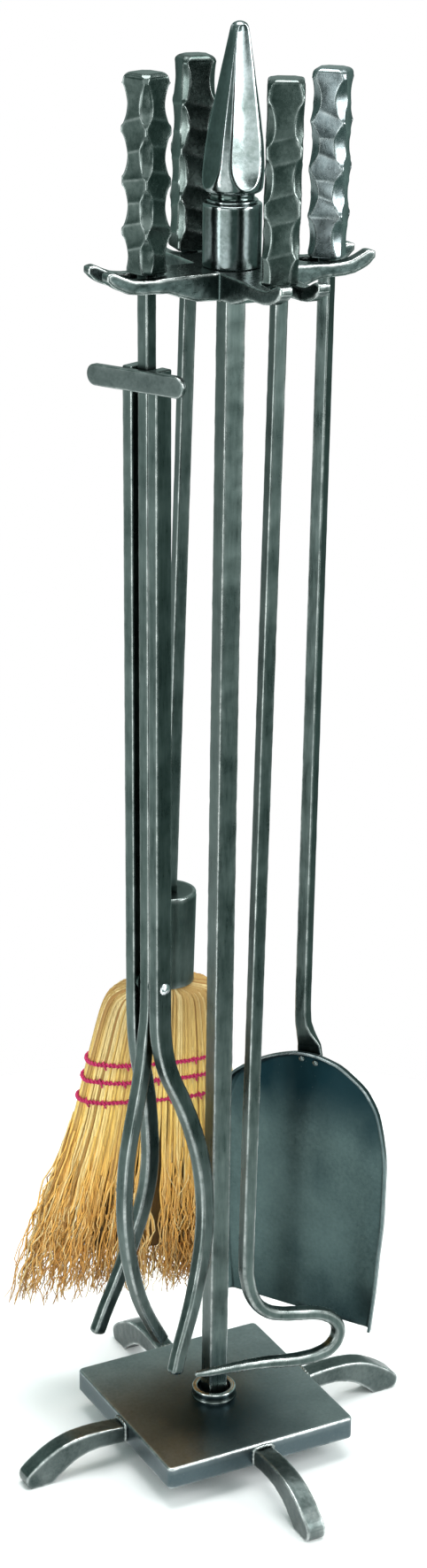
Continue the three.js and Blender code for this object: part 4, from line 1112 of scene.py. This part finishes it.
# ---------------------------------------------------------------- shovel
def shovel():
    F = Axis(SHOVEL)
    at = lambda a, b, z: F.at(a, -b, z)
    # bar, flattened behind the pan
    table = [(777.2, 3.97, -3.97, 3.97, 0), (302, 3.97, -3.97, 3.97, 0), (294, 4.0, -3.97, 3.9, 0.2), (286, 4.3, -3.95, 3.4, 0.7), (280, 5.5, -3.95, 1.9, 1.9), (275.5, 6.9, -3.9, 0.4, 3.1), (271, 8.3, -3.85, -0.8, 4.4), (264, 8.9, -3.8, -1.0, 5.1),
             (254, 8.9, -3.75, -1.0, 5.2), (252, 8.3, -3.7, -1.0, 5.2), (250, 7.0, -3.6, -1.2, 5.2)]
    tz = np.array([t[0] for t in table][::-1])
    get = lambda z, k: np.interp(z, tz, np.array([t[k] for t in table][::-1]))
    zs = list(np.arange(777.2, 302, -5)) + list(np.arange(300, 250, -1.3)) + [250]
    path = np.array([at(get(z, 4), (get(z, 2) + get(z, 3)) / 2, z) for z in zs])
    size = lambda i: (get(zs[i], 1), (get(zs[i], 3) - get(zs[i], 2)) / 2, min(0.9, (get(zs[i], 3) - get(zs[i], 2)) * 0.33))
    v, f, w = sweep(path, F.d, size, 0.13, 8, seed=8)
    piece("shovel_bar", v, f, "shovel", M["bar"], ["shovel_shaft"], scuff(v, w))
    # pan: one dished sheet with its rim turned towards the hollow side
    outline = spline([(a, z, 0) for a, z in (
        (59.8, 82), (62.7, 111), (64.4, 135.5), (66.6, 162), (67, 184.5), (67, 203.5), (65.1, 219), (60.6, 238), (55.2, 248.2),
        (48.4, 256.2), (34.5, 265.1), (25.9, 268.1), (15.3, 269.8), (6.5, 269.8), (-3.2, 268.2), (-16.1, 263.6), (-28, 257.3), (-43.5, 246.2),
        (-50.4, 237.7), (-55.5, 222), (-57.8, 203), (-58, 184), (-57.2, 162), (-55.4, 135.5), (-53.7, 111), (-51, 80))], 3.6)[:, :2]
    m = len(outline)
    P = F.axis(253)
    place = lambda a, b, z: vec(P[0], P[1], 0) + F.d * a - F.n * b + vec(0, 0, z)
    b0, wall, R = 0.3, 7.2, 4.6
    rows = []
    tang = np.gradient(outline, axis=0)
    tang /= np.linalg.norm(tang, axis=1)[:, None]
    inward = np.stack([-tang[:, 1], tang[:, 0]], 1)
    cen = np.stack([np.full(m, 4.0), np.round(np.clip(outline[:, 1], 82, 204) / 4.5) * 4.5], 1)
    flip = ((cen - outline) * inward).sum(1) < 0
    inward[flip] *= -1
    # at the open end the inward direction is level, so that the end stays straight
    lev = smooth((outline[:, 1] - 80) / 30)[:, None]
    level = np.stack([-np.sign(outline[:, 0] - 4.0), np.zeros(m)], 1)
    inward = inward * lev + level * (1 - lev)
    inward /= np.linalg.norm(inward, axis=1)[:, None]
    prof = [(1.0, wall), (1.05, wall - 0.5), (1.2, wall - 1.1), (1.4, wall - 1.8)]
    for a in np.linspace(0, 90, 9):
        prof.append((1.6 + R - R * math.cos(rad(a)), b0 + R - R * math.sin(rad(a))))
    prof += [(8.6, b0)]
    grid = []
    for inset, b in prof:
        grid.append([(outline[i] + inward[i] * inset, b) for i in range(m)])
    last = [g[0] for g in grid[-1]]
    for t in (0.07, 0.18, 0.32, 0.48, 0.64, 0.8, 0.92, 1.0):
        row = []
        for i in range(m):
            p = last[i] + (cen[i] - last[i]) * t
            if i in (0, m - 1):
                p = vec(p[0], float(np.interp(p[0], [-51, 59.8], [80.0, 82.0])))
            row.append((p, b0))
        grid.append(row)
    verts, wear, painted_pan_shade = [], [], []
    rows_n = len(grid)
    for j, row in enumerate(grid):
        for i, (p, b) in enumerate(row):
            a, z = p
            # small waves in the sheet; the belly term across the pan is multiplied by zero
            belly = -0.0 + 0.9 * (1 - min(1, (abs(a) / 52) ** 2)) * 0
            wav = 0.35 * noise.noise(Vector((a / 30, z / 34, 0.3))) + 0.12 * noise.noise(Vector((a / 9, z / 9, 4))) if j > 3 else 0.1 * noise.noise(Vector((a / 14, z / 14, 1)))
            zz = z if not (i in (0, m - 1)) else z
            verts.append(place(a, b + wav + belly, zz))
            # the rim's edge is brighter along the top, near the handle: edge wear with a painted highlight where it
            # catches the light
            wear.append((0.5 if z > 250 else 0.15) if j == 0 else 0.2 if i in (0, m - 1) else 0.0)
            # painted shade and reflection: darker towards the top of the pan, less on the rim rows, with dark streaks
            # running up and down the sheet
            painted_pan_shade.append(min(1, smooth((z - 200) / 50) * (0.95 if j > 2 else 0.7) + 0.75 * max(0, noise.noise(Vector((a / 17, z / 42, 2.6))) - 0.05)))
    faces = []
    for j in range(rows_n - 1):
        for i in range(m - 1):
            faces.append((j * m + i, j * m + i + 1, (j + 1) * m + i + 1, (j + 1) * m + i))
    ob = piece("pan_sheet", verts, faces, "shovel", M["pan"], ["shovel_pan"], wear, tone_and_painted_shade=painted_pan_shade)
    # merge the middle line, then give the sheet its thickness
    bm = bmesh.new()
    bm.from_mesh(ob.data)
    bmesh.ops.remove_doubles(bm, verts=bm.verts, dist=0.00012)
    bmesh.ops.dissolve_degenerate(bm, edges=bm.edges, dist=0.00002)
    bmesh.ops.recalc_face_normals(bm, faces=bm.faces)
    c = sum((f.normal * f.calc_area() for f in bm.faces), Vector())
    if c.dot(Vector(-F.n)) < 0:
        bmesh.ops.reverse_faces(bm, faces=bm.faces)
    bm.to_mesh(ob.data)
    bm.free()
    s = ob.modifiers.new("sheet", "SOLIDIFY")
    s.thickness = 0.0018
    s.offset = 0.0
    s.use_rim = True
    bv = ob.modifiers.new("edge", "BEVEL")
    bv.width = 0.0005
    bv.segments = 2
    bv.limit_method = "ANGLE"
    bv.angle_limit = rad(50)
    # rivets
    for name, a, z in (("left", 1, 262.2), ("right", 11.1, 261.4)):
        prof = [(0.02, -5.3), (1.2, -5.2), (2.2, -4.8), (2.75, -4.2), (2.8, -3.85), (1.45, -3.8), (1.45, 1.2), (2.2, 1.25), (2.15, 1.5), (1.7, 2.0), (0.9, 2.25), (0.02, 2.3)]
        verts = []
        for r, b in prof:
            for j in range(20):
                t = 2 * math.pi * j / 20
                verts.append(place(a + r * math.cos(t), b, z + r * math.sin(t)))
        piece(f"pan_rivet_{name}", verts, rings_to_faces(len(prof), 20), "shovel", M["finial"], [f"shovel_rivet_{name}"], np.zeros(len(verts)))


shovel()

# ---------------------------------------------------------------- CAD nodes that stay
for name in ("base_bolt", "base_washer", "finial_stud", "tongs_washer_left", "tongs_washer_right"):
    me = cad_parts[name].data
    me.materials.clear()
    me.materials.append(M["bar" if "washer_" in name else "steel"])

# ---------------------------------------------------------------- camera
az, D, H, pitch, roll = rad(-28.392), 1.7547, 1.1341, rad(21.028), rad(0.898)
f_px, cx = 3493.765, 252.126
C = Vector((math.sin(az) * D, -math.cos(az) * D, H))
fw = Vector((-math.sin(az) * math.cos(pitch), math.cos(az) * math.cos(pitch), -math.sin(pitch)))
right = Vector((math.cos(az), math.sin(az), 0))
up = right.cross(fw)
r2 = right * math.cos(roll) + up * math.sin(roll)
u2 = -right * math.sin(roll) + up * math.cos(roll)
cam = bpy.data.cameras.new("camera")
cam.sensor_fit = "AUTO"
cam.sensor_width = 36
cam.lens = f_px * 36 / 1772
cam.shift_x = -(cx - 241) / 1772
cam.shift_y = 0.0
cam.clip_start, cam.clip_end = 0.05, 40
cam_ob = bpy.data.objects.new("camera", cam)
scene.collection.objects.link(cam_ob)
cam_ob.matrix_world = Matrix(((r2.x, u2.x, -fw.x, C.x), (r2.y, u2.y, -fw.y, C.y), (r2.z, u2.z, -fw.z, C.z), (0, 0, 0, 1)))
scene.camera = cam_ob

# ---------------------------------------------------------------- floor, light and surroundings
n = 96
verts = [(0, 0, 0)] + [(0.55 * math.cos(2 * math.pi * j / n), 0.55 * math.sin(2 * math.pi * j / n), 0) for j in range(n)]
fl = bpy.data.meshes.new("floor")
fl.from_pydata([(x, y, -0.0002) for x, y, z in verts], [], [(0, 1 + j, 1 + (j + 1) % n) for j in range(n)])
floor = bpy.data.objects.new("floor", fl)
scene.collection.objects.link(floor)
fm = bpy.data.materials.new("floor")
fm.use_nodes = True
bs = fm.node_tree.nodes["Principled BSDF"]
bs.inputs["Base Color"].default_value = (0.93, 0.93, 0.935, 1)
bs.inputs["Roughness"].default_value = 0.85
bs.inputs["Specular IOR Level"].default_value = 0.1
fl.materials.append(fm)


def softbox(name, place, target, w, h, power, colour=(1, 1, 1)):
    la = bpy.data.lights.new(name, "AREA")
    la.shape = "RECTANGLE"
    la.size, la.size_y = w, h
    la.energy = power
    la.color = colour
    ob = bpy.data.objects.new(name, la)
    scene.collection.objects.link(ob)
    ob.location = place
    ob.rotation_euler = (Vector(target) - Vector(place)).to_track_quat("-Z", "Y").to_euler()
    return ob


softbox("key", (1.5, -1.6, 1.5), (0, 0, 0.45), 0.9, 1.6, 44)
softbox("top", (0.1, 0.1, 2.4), (0, 0, 0), 1.3, 1.3, 46)
softbox("left_strip", (-1.9, -0.3, 0.9), (0, 0, 0.5), 0.35, 1.5, 13)

world = bpy.data.worlds.new("studio")
scene.world = world
world.use_nodes = True
t = world.node_tree
t.nodes.clear()
out = t.nodes.new("ShaderNodeOutputWorld")
mixn = t.nodes.new("ShaderNodeMixShader")
lp = t.nodes.new("ShaderNodeLightPath")
white = t.nodes.new("ShaderNodeBackground")
white.inputs[0].default_value = (1, 1, 1, 1)
white.inputs[1].default_value = 1.0
env = t.nodes.new("ShaderNodeBackground")
tc = t.nodes.new("ShaderNodeTexCoord")


def lobe(direction, lo, hi, gain):
    d = t.nodes.new("ShaderNodeVectorMath")
    d.operation = "DOT_PRODUCT"
    t.links.new(tc.outputs["Generated"], d.inputs[0])
    d.inputs[1].default_value = Vector(direction).normalized()
    m = t.nodes.new("ShaderNodeMapRange")
    m.interpolation_type = "SMOOTHSTEP"
    m.inputs["From Min"].default_value = lo
    m.inputs["From Max"].default_value = hi
    m.inputs["To Min"].default_value = 0
    m.inputs["To Max"].default_value = gain
    t.links.new(d.outputs["Value"], m.inputs["Value"])
    return m.outputs[0]


def add(a, b):
    m = t.nodes.new("ShaderNodeMath")
    m.operation = "ADD"
    for s, x in zip(m.inputs, (a, b)):
        if isinstance(x, float):
            s.default_value = x
        else:
            t.links.new(x, s)
    return m.outputs[0]


level = add(lobe((-0.82, -0.38, -0.36), 0.8, 0.98, 0.7), lobe((-0.5, 0.72, -0.6), 0.86, 0.98, 0.8))
level = add(level, lobe((-0.851, 0.385, -0.36), 0.9, 0.985, 1.0))
level = add(level, lobe((-0.795, -0.49, -0.36), 0.87, 0.975, 2.0))
level = add(level, lobe((0.444, -0.88, 0.0), 0.955, 0.99, 4.2))
level = add(level, lobe((-0.3, -0.85, 0.42), 0.86, 0.985, 1.5))
level = add(level, lobe((0.444, 0.821, 0.358), 0.78, 1.0, 0.17))
level = add(level, lobe((0, 0, 1), 0.4, 1.0, 0.35))
tinted = t.nodes.new("ShaderNodeMix")
tinted.data_type = "RGBA"
tinted.blend_type = "ADD"
tinted.inputs[0].default_value = 1.0
tinted.inputs[6].default_value = (0.21, 0.33, 0.30, 1)
t.links.new(level, tinted.inputs[7])
t.links.new(tinted.outputs[2], env.inputs[0])
env.inputs[1].default_value = 1.0
t.links.new(lp.outputs["Is Camera Ray"], mixn.inputs[0])
t.links.new(env.outputs[0], mixn.inputs[1])
t.links.new(white.outputs[0], mixn.inputs[2])
t.links.new(mixn.outputs[0], out.inputs[0])
scene.view_settings.view_transform = "Standard"
scene.view_settings.look = "None"
